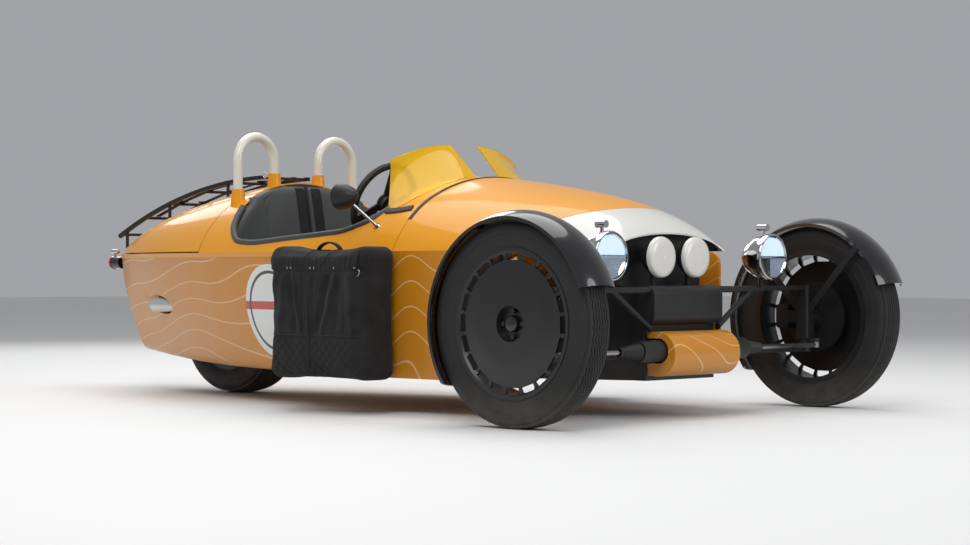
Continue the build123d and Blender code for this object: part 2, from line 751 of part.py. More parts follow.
# Steering wheel: rim, three spokes, hub and shaft
with BuildPart() as steering_wheel:
    with BuildSketch(Plane(column.origin, x_dir=column.x_dir, z_dir=column.x_dir.cross(column.z_dir))):
        with Locations((WHEEL_R - WHEEL_GRIP_R, 0)):
            RegularPolygon(WHEEL_GRIP_R, WHEEL_GRIP_SIDES)
    revolve(axis=Axis(column.origin, column.z_dir))
    with BuildSketch(column):
        with PolarLocations(0, 3, start_angle=90):
            Rectangle(WHEEL_R - WHEEL_GRIP_R, 30, align=(Align.MIN, Align.CENTER))
        Circle(38)
    extrude(amount=8)
    with BuildSketch(column):
        Circle(32)
    extrude(amount=30)
    with BuildSketch(column):
        Circle(SHAFT_R)
    extrude(amount=column_long - 2 * COLUMN_R)
keep(steering_wheel, "steering_wheel")

# Seats
with BuildPart() as seat_cushions:
    for side in (-1, 1):
        add(
            slab(
                behind(SEAT_REAR), behind(SEAT_FRONT),
                side * SEAT_Y - SEAT_W / 2, side * SEAT_Y + SEAT_W / 2, 120, SEAT_TOP_Z,
            )
        )
    fillet(seat_cushions.edges().filter_by(GeomType.LINE).group_by(Axis.Z)[-1], SEAT_R)
    add(tub_room, mode=Mode.INTERSECT)
keep(seat_cushions, "seat_cushions")

with BuildPart() as seat_backs:
    with BuildSketch(side_plane(0)) as back_profile:
        Polygon(
            (behind(BACK_LOW), BACK_LOW_Z), (behind(BACK_LOW + BACK_T), BACK_LOW_Z),
            (behind(BACK_HIGH + 0.5 * BACK_T), BACK_HIGH_Z), (behind(BACK_HIGH), BACK_HIGH_Z),
            align=None,
        )
    for side in (-1, 1):
        extrude(
            back_profile.sketch.moved(Location((0, side * SEAT_Y + SEAT_W / 2, 0))),
            amount=SEAT_W, dir=(0, -1, 0),
        )
    fillet(seat_backs.edges().filter_by(Axis.Y).group_by(Axis.Z)[-1], 24)
    add(
        upper_room + (tub_room & slab(-FAR, FAR, -FAR, FAR, 0, BELT_Z + SEAT_GAP)),
        mode=Mode.INTERSECT,
    )
keep(seat_backs, "seat_backs")

# Side blades with stand-off studs, and the soft panniers strapped to them
with BuildPart() as side_blades:
    for name, side in SIDES:
        with BuildSketch(side_plane(side * BLADE_Y)):
            with Locations((behind((BLADE_FRONT + BLADE_REAR) / 2), (BLADE_LOW_Z + BLADE_HIGH_Z) / 2)):
                RectangleRounded(BLADE_REAR - BLADE_FRONT, BLADE_HIGH_Z - BLADE_LOW_Z, BLADE_CORNER_R)
        extrude(amount=side * BLADE_T)
        with BuildSketch(side_plane(side * (BLADE_Y - BLADE_T))):
            with Locations(*[(behind(d), z) for d, z in BLADE_STUDS]):
                Circle(BLADE_STUD_R)
        extrude(amount=side * 2 * TUB_CORNER_R)
    add(lower_form(), mode=Mode.SUBTRACT)
    add(
        lower_form(-MOULDING_OUT - SEAT_GAP)
        & slab(-FAR, FAR, -FAR, FAR, BELT_Z - MOULDING_H - SEAT_GAP, FAR),
        mode=Mode.SUBTRACT,
    )
keep(side_blades, "side_blades")

with BuildPart() as panniers:
    for name, side in SIDES:
        inner = side * (BLADE_Y + SEAT_GAP)
        outer = side * (BLADE_Y + SEAT_GAP + BAG_DEEP)
        add(
            slab(
                behind(BAG_REAR), behind(BAG_FRONT), min(inner, outer), max(inner, outer),
                BAG_LOW_Z, BAG_HIGH_Z,
            )
        )
    fillet(panniers.edges(), BAG_R)
keep(panniers, "panniers")

# Front casting: tray, side cheeks, rounded cross beam and the dark panel behind the nose opening
cheek_rear = TUB_FRONT - SEAT_GAP
with BuildPart() as front_casting:
    with BuildSketch(Plane.XY.offset(CASTING_LOW_Z)):
        Polygon(
            (behind(0), -CASTING_FRONT_HALF), (behind(CASTING_STRAIGHT), -CASTING_FRONT_HALF),
            (behind(cheek_rear), -CASTING_REAR_HALF), (behind(cheek_rear), CASTING_REAR_HALF),
            (behind(CASTING_STRAIGHT), CASTING_FRONT_HALF), (behind(0), CASTING_FRONT_HALF),
            align=None,
        )
    extrude(amount=CASTING_HIGH_Z - CASTING_LOW_Z)
    add(
        slab(
            behind(0), behind(-BEAM_AHEAD), -CASTING_FRONT_HALF, CASTING_FRONT_HALF,
            CASTING_BEAM_Z, CASTING_HIGH_Z,
        )
    )
    fillet(front_casting.edges().filter_by(Axis.Y).group_by(Axis.X)[-1], CASTING_R)
    add(
        slab(
            behind(GRILLE_BACK + GRILLE_T), behind(GRILLE_BACK), -GRILLE_HALF, GRILLE_HALF,
            CASTING_HIGH_Z, BELT_Z + 2 * SEAM,
        )
    )
    add(upper_room & slab(behind(GRILLE_BACK + GRILLE_T), behind(GRILLE_BACK), -FAR, FAR, 0, FAR))
keep(front_casting, "front_casting")

# Bumper: curved cover round the steering rack, open at the ends for the rack
with BuildPart() as front_bumper:
    bumper_mid = (BUMPER_LOW_Z + BUMPER_HIGH_Z) / 2
    with BuildSketch(side_plane(BUMPER_HALF)):
        with BuildLine():
            Polyline(
                (behind(-BUMPER_LIP), BUMPER_LOW_Z), (behind(-SEAT_GAP), BUMPER_LOW_Z),
                (behind(-SEAT_GAP), BUMPER_HIGH_Z), (behind(-BUMPER_LIP), BUMPER_HIGH_Z),
            )
            ThreePointArc(
                (behind(-BUMPER_LIP), BUMPER_HIGH_Z), (behind(-BUMPER_AHEAD), bumper_mid),
                (behind(-BUMPER_LIP), BUMPER_LOW_Z),
            )
        make_face()
    extrude(amount=2 * BUMPER_HALF)
    with BuildSketch(side_plane(BUMPER_HALF - BUMPER_T)):
        with BuildLine():
            Polyline(
                (behind(-BUMPER_LIP), BUMPER_LOW_Z + BUMPER_T), (behind(BUMPER_T), BUMPER_LOW_Z + BUMPER_T),
                (behind(BUMPER_T), BUMPER_HIGH_Z - BUMPER_T), (behind(-BUMPER_LIP), BUMPER_HIGH_Z - BUMPER_T),
            )
            ThreePointArc(
                (behind(-BUMPER_LIP), BUMPER_HIGH_Z - BUMPER_T),
                (behind(BUMPER_T - BUMPER_AHEAD), bumper_mid),
                (behind(-BUMPER_LIP), BUMPER_LOW_Z + BUMPER_T),
            )
        make_face()
    extrude(amount=2 * (BUMPER_HALF - BUMPER_T), mode=Mode.SUBTRACT)
    with BuildSketch(side_plane(BUMPER_HALF)):
        with Locations((behind(-RACK_AHEAD), RACK_Z)):
            Circle(BUMPER_NOTCH)
            Rectangle(2 * BUMPER_AHEAD, 2 * BUMPER_NOTCH, align=(Align.MAX, Align.CENTER))
    extrude(amount=2 * BUMPER_HALF, mode=Mode.SUBTRACT)
keep(front_bumper, "front_bumper")

# Steering rack housing on its two saddles
with BuildPart() as steering_rack:
    with Locations((behind(-RACK_AHEAD), 0, RACK_Z)):
        Cylinder(RACK_R, 2 * RACK_HALF, rotation=(90, 0, 0))
    for y in (-SADDLE_Y, SADDLE_Y):
        add(
            slab(
                behind(-SEAT_GAP), behind(-RACK_AHEAD), y - SADDLE_W / 2, y + SADDLE_W / 2,
                RACK_Z - RACK_R / 2, RACK_Z + RACK_R / 2,
            )
        )
    with Locations((behind(-RACK_AHEAD), 0, RACK_Z)):
        Cylinder(TIE_ROD_R + RUN_FIT, 2 * RACK_HALF, rotation=(90, 0, 0), mode=Mode.SUBTRACT)
keep(steering_rack, "steering_rack")

# Tie rods, one bar through the rack, with a flat eye under each steering arm
with BuildPart() as tie_rods:
    with Locations((behind(-RACK_AHEAD), 0, RACK_Z)):
        Cylinder(TIE_ROD_R, 2 * KINGPIN_Y, rotation=(90, 0, 0))
    with Locations(*[(behind(-RACK_AHEAD), y, RACK_Z) for y in (-KINGPIN_Y, KINGPIN_Y)]):
        Cylinder(TIE_END_R, TIE_END_H)
keep(tie_rods, "tie_rods")

# Wishbones: an eye on the kingpin and two legs to the casting
with BuildPart() as wishbones:
    for eye_z, pivots in ((UPPER_BALL_Z, UPPER_PIVOTS), (LOWER_BALL_Z, LOWER_PIVOTS)):
        for name, side in SIDES:
            with BuildSketch(Plane.XY.offset(eye_z - BALL_EYE_H / 2)):
                with Locations((behind(0), side * KINGPIN_Y)):
                    Circle(BALL_EYE_R)
                for d, y in pivots:
                    start = Vector(behind(0), side * KINGPIN_Y)
                    end = Vector(behind(d), side * y)
                    across = (end - start).cross(Vector(0, 0, 1)).normalized() * (WISHBONE_W / 2)
                    Polygon(start + across, end + across, end - across, start - across, align=None)
                with Locations((behind(0), side * KINGPIN_Y)):
                    Circle(KINGPIN_PIN_R + RUN_FIT, mode=Mode.SUBTRACT)
            extrude(amount=BALL_EYE_H)
    add(front_casting.part, mode=Mode.SUBTRACT)
keep(wishbones, "wishbones")

# Half way up the sidewall the tyres are widest, from bead to flat tread
def tyre_outline(bead_width, bead_r, rim_r, width, tread_r, tread_width):
    """Corners of a tyre section: local x runs across, local y is the radius."""
    half = [
        (bead_width / 2, bead_r), (bead_width / 2, rim_r + SEAT_GAP), (width / 2, (rim_r + tread_r) / 2),
        (tread_width / 2, tread_r),
    ]
    return half + [(-x, r) for x, r in reversed(half)]


# Front wheels: slotted disc wheel with hub and brake disc, and the tyre on it
def wheel_profile():
    """Corners of a front wheel section: local x runs outboard, local y is the radius."""
    half = FRONT_BEAD_W / 2 + SEAT_GAP
    barrel = FRONT_BEAD_R - SEAT_GAP
    bore = SPINDLE_R + RUN_FIT
    edge = FACE_RIM - FACE_T - 2
    return [
        (-HUB_IN, bore), (HUB_OUT, bore), (HUB_OUT, HUB_RECESS_R - 4), (FACE_OUT, HUB_RECESS_R),
        (FACE_MID, FACE_MID_R), (FACE_RIM, barrel - 2 * RIM_FLANGE), (half + RIM_FLANGE, barrel),
        (half + RIM_FLANGE, FRONT_RIM_R), (half, FRONT_RIM_R), (half, barrel), (-half, barrel),
        (-half, FRONT_RIM_R), (-half - RIM_FLANGE, FRONT_RIM_R), (-half - RIM_FLANGE, barrel - RIM_T),
        (edge, barrel - RIM_T), (edge, barrel - 2 * RIM_FLANGE - 4), (FACE_MID - FACE_T, FACE_MID_R),
        (FACE_OUT - FACE_T, HUB_RECESS_R + 4), (WEB_OUT, HUB_RECESS_R + 2), (WEB_OUT, HUB_R),
        (BRAKE_T - BRAKE_IN, HUB_R), (BRAKE_T - BRAKE_IN, BRAKE_R), (-BRAKE_IN, BRAKE_R), (-BRAKE_IN, HUB_R),
        (-HUB_IN, HUB_R),
    ]


for name, side in SIDES:
    hub = (behind(0), side * FRONT_HUB_Y, FRONT_TYRE_R)
    section_plane = Plane(origin=hub, x_dir=(0, side, 0), z_dir=(side, 0, 0))
    with BuildPart() as wheel:
        with BuildSketch(section_plane):
            Polygon(*wheel_profile(), align=None)
        revolve(axis=y_axis(*hub))
        with BuildSketch(Plane(origin=(hub[0], side * (FRONT_HUB_Y + HUB_OUT), hub[2]), z_dir=(0, side, 0))):
            with PolarLocations(SLOT_R, DISC_SLOTS):
                Rectangle(SLOT_DEPTH, SLOT_WIDTH)
        extrude(amount=FRONT_TYRE_W / 3, mode=Mode.SUBTRACT)
    keep(wheel, f"wheel_front_{name}")

    with BuildPart() as tyre:
        with BuildSketch(section_plane):
            Polygon(
                *tyre_outline(
                    FRONT_BEAD_W, FRONT_BEAD_R, FRONT_RIM_R, FRONT_TYRE_W, FRONT_TYRE_R, FRONT_TREAD_W
                ),
                align=None,
            )
        revolve(axis=y_axis(*hub))
    keep(tyre, f"tyre_front_{name}")

    # Knuckle: upright on the kingpin, spindle, steering arm, brake caliper and mudguard stays
    kingpin = side * KINGPIN_Y
    eye_low = LOWER_BALL_Z + BALL_EYE_H / 2
    eye_high = UPPER_BALL_Z - BALL_EYE_H / 2
    y_in = KINGPIN_Y - UPRIGHT_IN
    y_out = KINGPIN_Y + UPRIGHT_OUT
    with BuildPart() as knuckle:
        add(
            slab(
                behind(UPRIGHT_HALF), behind(-UPRIGHT_HALF), min(side * y_in, side * y_out),
                max(side * y_in, side * y_out), UPRIGHT_LOW_Z, eye_high - SEAT_GAP,
            )
        )
        fillet(knuckle.edges().filter_by(Axis.Z), 10)
        with Locations((behind(0), kingpin, eye_low + SEAT_GAP)):
            Cylinder(NECK_R, UPRIGHT_LOW_Z - eye_low, align=(Align.CENTER, Align.CENTER, Align.MIN))
        with Locations((behind(0), kingpin, eye_low - BALL_EYE_H - 2)):
            Cylinder(KINGPIN_PIN_R, BALL_EYE_H + 8, align=(Align.CENTER, Align.CENTER, Align.MIN))
        with Locations((behind(0), kingpin, eye_high - 6)):
            Cylinder(KINGPIN_PIN_R, BALL_EYE_H + 8, align=(Align.CENTER, Align.CENTER, Align.MIN))
        arm_z = RACK_Z + TIE_END_H / 2 + SEAT_GAP
        with BuildSketch(Plane.XY.offset(arm_z)):
            with Locations((behind(-RACK_AHEAD / 2), kingpin)):
                SlotCenterToCenter(RACK_AHEAD, 2 * NECK_R - 10)
        extrude(amount=ARM_T)
        with BuildSketch(Plane(origin=(behind(0), kingpin, FRONT_TYRE_R), z_dir=(0, side, 0))):
            Circle(SPINDLE_R)
        extrude(amount=FRONT_HUB_Y - KINGPIN_Y + HUB_OUT + 4)
        with BuildSketch(Plane(origin=(behind(0), kingpin, FRONT_TYRE_R), z_dir=(0, side, 0))):
            Circle(HUB_SHOULDER_R)
        extrude(amount=FRONT_HUB_Y - KINGPIN_Y - HUB_IN - SEAT_GAP)
        cal_in = side * (FRONT_HUB_Y + CALIPER_Y[0])
        cal_out = side * (FRONT_HUB_Y + CALIPER_Y[1])
        add(
            slab(
                behind(CALIPER_BACK[1]), behind(CALIPER_BACK[0]), min(cal_in, cal_out), max(cal_in, cal_out),
                CALIPER_Z[0], CALIPER_Z[1],
            )
        )
        fillet(knuckle.edges().filter_by(Axis.Y).group_by(Axis.X)[0], 14)
        rotor_in = side * (FRONT_HUB_Y - BRAKE_IN - CALIPER_GAP)
        with BuildSketch(Plane(origin=(behind(0), rotor_in, FRONT_TYRE_R), z_dir=(0, side, 0))):
            Circle(BRAKE_R + CALIPER_GAP)
            Circle(CALIPER_BACK[0] - 10, mode=Mode.SUBTRACT)
        extrude(amount=BRAKE_T + 2 * CALIPER_GAP, mode=Mode.SUBTRACT)
        link_in = side * (KINGPIN_Y)
        link_out = side * (FRONT_HUB_Y + CALIPER_Y[0] + 20)
        add(
            slab(
                behind(CALIPER_BACK[0] + 20), behind(0), min(link_in, link_out), max(link_in, link_out),
                FRONT_TYRE_R - 24, FRONT_TYRE_R + 24,
            )
        )
        stay_y = FRONT_HUB_Y - GUARD_W / 2
        for angle in STAY_DEGS:
            stay_plane = Plane(
                origin=(behind(0), side * stay_y, FRONT_TYRE_R),
                x_dir=(cos(radians(angle)), 0, sin(radians(angle))), z_dir=(0, -side, 0),
            )
            with BuildSketch(stay_plane):
                Rectangle(GUARD_R - GUARD_DROP - GUARD_LIP / 2, STAY_W, align=(Align.MIN, Align.CENTER))
            extrude(amount=STAY_T)
    keep(knuckle, f"knuckle_{name}")

    # Mudguard: a thin arched band over the wheel, carried by the stays
    half = GUARD_W / 2
    edge = GUARD_R - GUARD_DROP
    start = spin_plane(*hub, angle=GUARD_FRONT_DEG)
    with BuildPart() as mudguard:
        with BuildSketch(start):
            with BuildLine():
                Line((-half, edge - GUARD_LIP), (-half, edge))
                ThreePointArc((-half, edge), (0, GUARD_R), (half, edge))
                Polyline(
                    (half, edge), (half, edge - GUARD_LIP), (half - GUARD_T, edge - GUARD_LIP),
                    (half - GUARD_T, edge - 1.2 * GUARD_T),
                )
                ThreePointArc(
                    (half - GUARD_T, edge - 1.2 * GUARD_T), (0, GUARD_R - GUARD_T),
                    (GUARD_T - half, edge - 1.2 * GUARD_T),
                )
                Polyline(
                    (GUARD_T - half, edge - 1.2 * GUARD_T), (GUARD_T - half, edge - GUARD_LIP),
                    (-half, edge - GUARD_LIP),
                )
            make_face()
        revolve(axis=Axis(hub, (0, -1, 0)), revolution_arc=GUARD_SWEEP_DEG)
    keep(mudguard, f"mudguard_{name}")

# Rear wheel and tyre
rear_hub = (REAR_AXLE_X, 0, REAR_TYRE_R)
with BuildPart() as wheel_rear:
    half = REAR_BEAD_W / 2 + SEAT_GAP
    barrel = REAR_BEAD_R - SEAT_GAP
    bore = REAR_AXLE_R + RUN_FIT
    with BuildSketch(cross_plane(*rear_hub)):
        Polygon(
            (-REAR_HUB_HALF, bore), (REAR_HUB_HALF, bore), (REAR_HUB_HALF, REAR_HUB_R),
            (REAR_WEB_OUT, REAR_WEB_R), (REAR_WEB_OUT, barrel - REAR_WEB_EDGE),
            (half + RIM_FLANGE, barrel - REAR_RIM_T), (half + RIM_FLANGE, REAR_RIM_R), (half, REAR_RIM_R),
            (half, barrel), (-half, barrel), (-half, REAR_RIM_R), (-half - RIM_FLANGE, REAR_RIM_R),
            (-half - RIM_FLANGE, barrel - REAR_RIM_T), (REAR_WEB_IN, barrel - REAR_WEB_EDGE),
            (REAR_WEB_IN, REAR_WEB_R), (-REAR_HUB_HALF, REAR_HUB_R),
            align=None,
        )
    revolve(axis=y_axis(*rear_hub))
keep(wheel_rear, "wheel_rear")

with BuildPart() as tyre_rear:
    with BuildSketch(cross_plane(*rear_hub)):
        Polygon(
            *tyre_outline(REAR_BEAD_W, REAR_BEAD_R, REAR_RIM_R, REAR_TYRE_W, REAR_TYRE_R, REAR_TREAD_W),
            align=None,
        )
    revolve(axis=y_axis(*rear_hub))
keep(tyre_rear, "tyre_rear")

# Headlamps: bowl, stem, arm and brace to the casting; lens in each bowl
with BuildPart() as headlamps:
    for name, side in SIDES:
        lamp = (behind(-HEAD_AHEAD), side * HEAD_Y, HEAD_Z)
        with BuildSketch(Plane(origin=lamp, x_dir=(-1, 0, 0), z_dir=(0, -1, 0))):
            Polygon(
                (HEAD_LENS_T, 0), (HEAD_LENS_T, HEAD_LENS_R), (0, HEAD_LENS_R), (0, HEAD_R),
                (HEAD_RIM, HEAD_R),
                *[(HEAD_RIM + share * (HEAD_DEEP - HEAD_RIM), r * HEAD_R) for share, r in BOWL_STEPS],
                (HEAD_DEEP, 0),
                align=None,
            )
        revolve(axis=Axis(lamp, (1, 0, 0)))
        stem = (behind(-HEAD_STEM_AHEAD), side * HEAD_Y, HEAD_ARM_Z)
        with Locations(stem):
            Cylinder(HEAD_STEM_R, HEAD_Z - HEAD_ARM_Z - 50, align=(Align.CENTER, Align.CENTER, Align.MIN))
            Sphere(HEAD_STEM_R)
        arm_plane = Plane(
            origin=(behind(-HEAD_STEM_AHEAD), side * CASTING_FRONT_HALF, HEAD_ARM_Z), z_dir=(0, side, 0)
        )
        with BuildSketch(arm_plane):
            Circle(HEAD_STEM_R)
        extrude(amount=HEAD_Y - CASTING_FRONT_HALF)
        foot = Vector(behind(-HEAD_STEM_AHEAD), side * (CASTING_FRONT_HALF - 30), HEAD_BRACE_Z)
        head = Vector(behind(-HEAD_STEM_AHEAD), side * HEAD_BRACE_Y, HEAD_ARM_Z)
        with BuildSketch(Plane(origin=foot, z_dir=head - foot)):
            Circle(HEAD_STEM_R)
        extrude(amount=(head - foot).length)
    add(front_casting.part, mode=Mode.SUBTRACT)
    add(slab(-FAR, FAR, -CASTING_FRONT_HALF, CASTING_FRONT_HALF, 0, CASTING_BEAM_Z), mode=Mode.SUBTRACT)
keep(headlamps, "headlamps")

with BuildPart() as headlamp_lenses:
    for name, side in SIDES:
        lamp = (behind(-HEAD_AHEAD), side * HEAD_Y, HEAD_Z)
        lens_r = HEAD_LENS_R - SEAT_GAP
        with BuildSketch(Plane(origin=lamp, x_dir=(-1, 0, 0), z_dir=(0, -1, 0))):
            with BuildLine():
                ThreePointArc((-14, 0), (-10.5, lens_r / 2), (0, lens_r))
                Polyline((0, lens_r), (HEAD_LENS_T, lens_r), (HEAD_LENS_T, 0), (-14, 0))
            make_face()
        revolve(axis=Axis(lamp, (1, 0, 0)))
keep(headlamp_lenses, "headlamp_lenses")

# Spot lamps on posts over the cross beam, with flat covers
with BuildPart() as spot_lamps:
    for name, side in SIDES:
        lamp = (behind(-SPOT_AHEAD), side * SPOT_Y, SPOT_Z)
        with BuildSketch(Plane(origin=lamp, x_dir=(-1, 0, 0), z_dir=(0, -1, 0))):
            bowl_deep = SPOT_DEEP - SPOT_COVER_T
            Polygon(
                (SPOT_COVER_T, 0), (SPOT_COVER_T, SPOT_R - SPOT_STEP),
                *[(SPOT_COVER_T + share * bowl_deep, r * (SPOT_R - SPOT_STEP)) for share, r in BOWL_STEPS],
                (SPOT_DEEP, 0), align=None,
            )
        revolve(axis=Axis(lamp, (1, 0, 0)))
        with Locations((behind(SPOT_DEEP / 2), side * SPOT_Y, CASTING_HIGH_Z)):
            Cylinder(SPOT_POST_R, SPOT_Z - CASTING_HIGH_Z - 20, align=(Align.CENTER, Align.CENTER, Align.MIN))
keep(spot_lamps, "spot_lamps")

with BuildPart() as spot_covers:
    for name, side in SIDES:
        lamp = (behind(-SPOT_AHEAD), side * SPOT_Y, SPOT_Z)
        with BuildSketch(Plane(origin=lamp, x_dir=(-1, 0, 0), z_dir=(0, -1, 0))):
            Polygon(
                (0, 0), (SPOT_DISH, SPOT_R - 2 * SPOT_CHAMFER), (SPOT_CHAMFER, SPOT_R - SPOT_CHAMFER / 2),
                (2 * SPOT_CHAMFER, SPOT_R), (SPOT_COVER_T, SPOT_R), (SPOT_COVER_T, 0), align=None,
            )
        revolve(axis=Axis(lamp, (1, 0, 0)))
keep(spot_covers, "spot_covers")

# Direction indicators: one over each headlamp, one over each tail lamp
lamp_back = TAIL + TAIL_LAMP_OUT
with BuildPart() as indicators:
    for name, side in SIDES:
        with BuildSketch(Plane(origin=(behind(-HEAD_AHEAD + 20), side * HEAD_Y, BLINK_Z), z_dir=(-1, 0, 0))):
            Circle(BLINK_R)
        extrude(amount=BLINK_LONG)
        with BuildSketch(Plane(origin=(behind(-HEAD_AHEAD + 40), side * HEAD_Y, HEAD_Z))):
            Circle(BLINK_R / 2)
        extrude(amount=BLINK_Z - HEAD_Z)
        rear_blink = (behind(lamp_back - TAIL_LENS_T), side * TAIL_BLINK_Y, TAIL_BLINK_Z)
        with BuildSketch(Plane(origin=rear_blink, z_dir=(1, 0, 0))):
            Circle(TAIL_BLINK_R)
        extrude(amount=BLINK_LONG)
        stem_foot = (behind(lamp_back - 2 * TAIL_LENS_T), side * TAIL_BLINK_Y, TAIL_LAMP_Z)
        with BuildSketch(Plane(origin=stem_foot)):
            Circle(TAIL_BLINK_R / 2)
        extrude(amount=TAIL_BLINK_Z - TAIL_LAMP_Z)
    add(headlamps.part, mode=Mode.SUBTRACT)
    with Locations(*[(behind(lamp_back - TAIL_LENS_T), side * TAIL_LAMP_Y, TAIL_LAMP_Z) for side in (-1, 1)]):
        Cylinder(
            TAIL_LAMP_R - 2 + SEAT_GAP, 4 * TAIL_BODY_LONG, rotation=(0, 90, 0), mode=Mode.SUBTRACT,
        )
keep(indicators, "indicators")

# Tail lamps on short stems from the raked tail, with their lenses
with BuildPart() as tail_lamps:
    for name, side in SIDES:
        lamp = (behind(lamp_back - TAIL_LENS_T), side * TAIL_LAMP_Y, TAIL_LAMP_Z)
        with BuildSketch(Plane(origin=lamp, z_dir=(1, 0, 0))):
            Circle(TAIL_LAMP_R - 2)
        extrude(amount=TAIL_BODY_LONG)
        with BuildSketch(Plane(origin=lamp, z_dir=(1, 0, 0))):
            Circle(TAIL_STEM_R)
        extrude(amount=lamp_back - TAIL_LENS_T - TAIL + 40)
    add(tub.part, mode=Mode.SUBTRACT)
    add(tub_block.part, mode=Mode.SUBTRACT)
keep(tail_lamps, "tail_lamps")

with BuildPart() as tail_lenses:
    for name, side in SIDES:
        lamp = (behind(lamp_back - TAIL_LENS_T), side * TAIL_LAMP_Y, TAIL_LAMP_Z)
        with BuildSketch(Plane(origin=lamp, x_dir=(-1, 0, 0), z_dir=(0, -1, 0))):
            Polygon(
                (0, 0), (0, TAIL_LAMP_R), (0.5 * TAIL_LENS_T, TAIL_LAMP_R),
                (0.8 * TAIL_LENS_T, 0.75 * TAIL_LAMP_R),
                (TAIL_LENS_T, 0.3 * TAIL_LAMP_R), (TAIL_LENS_T, 0), align=None,
            )
        revolve(axis=Axis(lamp, (1, 0, 0)))
keep(tail_lenses, "tail_lenses")

# Blank number plate holder on the raked tail
with BuildPart() as plate_holder:
    add(slab(behind(PLATE_BACK), behind(TAIL_FOOT), -PLATE_HALF, PLATE_HALF, PLATE_LOW_Z, PLATE_HIGH_Z))
    add(tub_block.part, mode=Mode.SUBTRACT)
keep(plate_holder, "plate_holder")

# Exhaust pipe from the wall behind the seats to its tip in the side cut-out
with BuildPart() as exhaust_pipe:
    with BuildSketch(Plane(origin=(behind(EXHAUST_BACK), EXHAUST_Y, EXHAUST_Z), z_dir=(1, 0, 0))):
        Circle(EXHAUST_R)
    extrude(amount=EXHAUST_BACK - bulkhead_back - SEAT_GAP)
    with BuildSketch(Plane(origin=(behind(EXHAUST_BACK), EXHAUST_Y, EXHAUST_Z), z_dir=(1, 0, 0))):
        Circle(EXHAUST_R - EXHAUST_T)
    extrude(amount=EXHAUST_DEEP, mode=Mode.SUBTRACT)
keep(exhaust_pipe, "exhaust_pipe")

# Mirrors: bullet head, stem and foot on the scuttle; glass in the rear face
with BuildPart() as mirrors:
    for name, side in SIDES:
        foot = Vector(behind(MIRROR_FOOT[0]), side * MIRROR_FOOT[1], MIRROR_FOOT[2])
        head = Vector(behind(MIRROR_HEAD[0]), side * MIRROR_HEAD[1], MIRROR_HEAD[2])
        with BuildSketch(Plane(origin=foot, z_dir=head - foot)):
            Circle(MIRROR_STEM_R)
        extrude(amount=(head - foot).length)
        with BuildSketch(Plane(origin=foot, z_dir=head - foot)):
            Circle(MIRROR_FOOT_R)
        extrude(amount=MIRROR_FOOT_R * 1.6)
        with BuildSketch(Plane(origin=head, x_dir=(1, 0, 0), z_dir=(0, -1, 0))):
            seat_x = MIRROR_GLASS_T - MIRROR_BACK
            Polygon(
                (seat_x, 0), (seat_x, MIRROR_R - MIRROR_RIM), (-MIRROR_BACK, MIRROR_R - MIRROR_RIM),
                (-MIRROR_BACK, MIRROR_R),
                *[(share * MIRROR_LONG - MIRROR_BACK, r * MIRROR_R) for share, r in BOWL_STEPS],
                (MIRROR_LONG - MIRROR_BACK, 0), align=None,
            )
        revolve(axis=Axis(head, (1, 0, 0)))
    add(upper_skin, mode=Mode.SUBTRACT)
keep(mirrors, "mirrors")

with BuildPart() as mirror_glasses:
    for name, side in SIDES:
        head = (behind(MIRROR_HEAD[0] + MIRROR_BACK), side * MIRROR_HEAD[1], MIRROR_HEAD[2])
        with BuildSketch(Plane(origin=head, z_dir=(1, 0, 0))):
            Circle(MIRROR_R - MIRROR_RIM - SEAT_GAP)
        extrude(amount=MIRROR_GLASS_T)
keep(mirror_glasses, "mirror_glasses")

# Aero screens: raked curved sheets standing on the scuttle
with BuildPart() as aero_screens:
    for name, side in SIDES:
        bands = []
        for z in (SCREEN_LOW_Z, SCREEN_HIGH_Z):
            lean = SCREEN_RAKE * (z - SCREEN_LOW_Z)
            curve = [(behind(d + lean), side * y) for d, y in (SCREEN_INNER, SCREEN_MID, SCREEN_OUTER)]
            with BuildSketch(Plane.XY.offset(z)) as band:
                with BuildLine():
                    outer_arc = ThreePointArc(*curve)
                    inner_arc = ThreePointArc(*[(x - SCREEN_T, y) for x, y in curve])
                    Line(outer_arc @ 0, inner_arc @ 0)
                    Line(outer_arc @ 1, inner_arc @ 1)
                make_face()
            bands.append(band.sketch)
        loft(bands, ruled=True)
    with BuildSketch(cross_plane(FAR / 2)) as outline:
        for name, side in SIDES:
            Polygon(*[(side * y, z) for y, z in SCREEN_OUTLINE], align=None)
        fillet(outline.vertices().filter_by(lambda v: v.Y > SCREEN_LOW_Z), SCREEN_CORNER_R)
    extrude(outline.sketch, amount=-FAR, mode=Mode.INTERSECT)
    add(upper_skin, mode=Mode.SUBTRACT)
keep(aero_screens, "aero_screens")
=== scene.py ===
import json
import math

import bmesh
import bpy
import numpy as np
from mathutils import Matrix, Vector
from mathutils.bvhtree import BVHTree


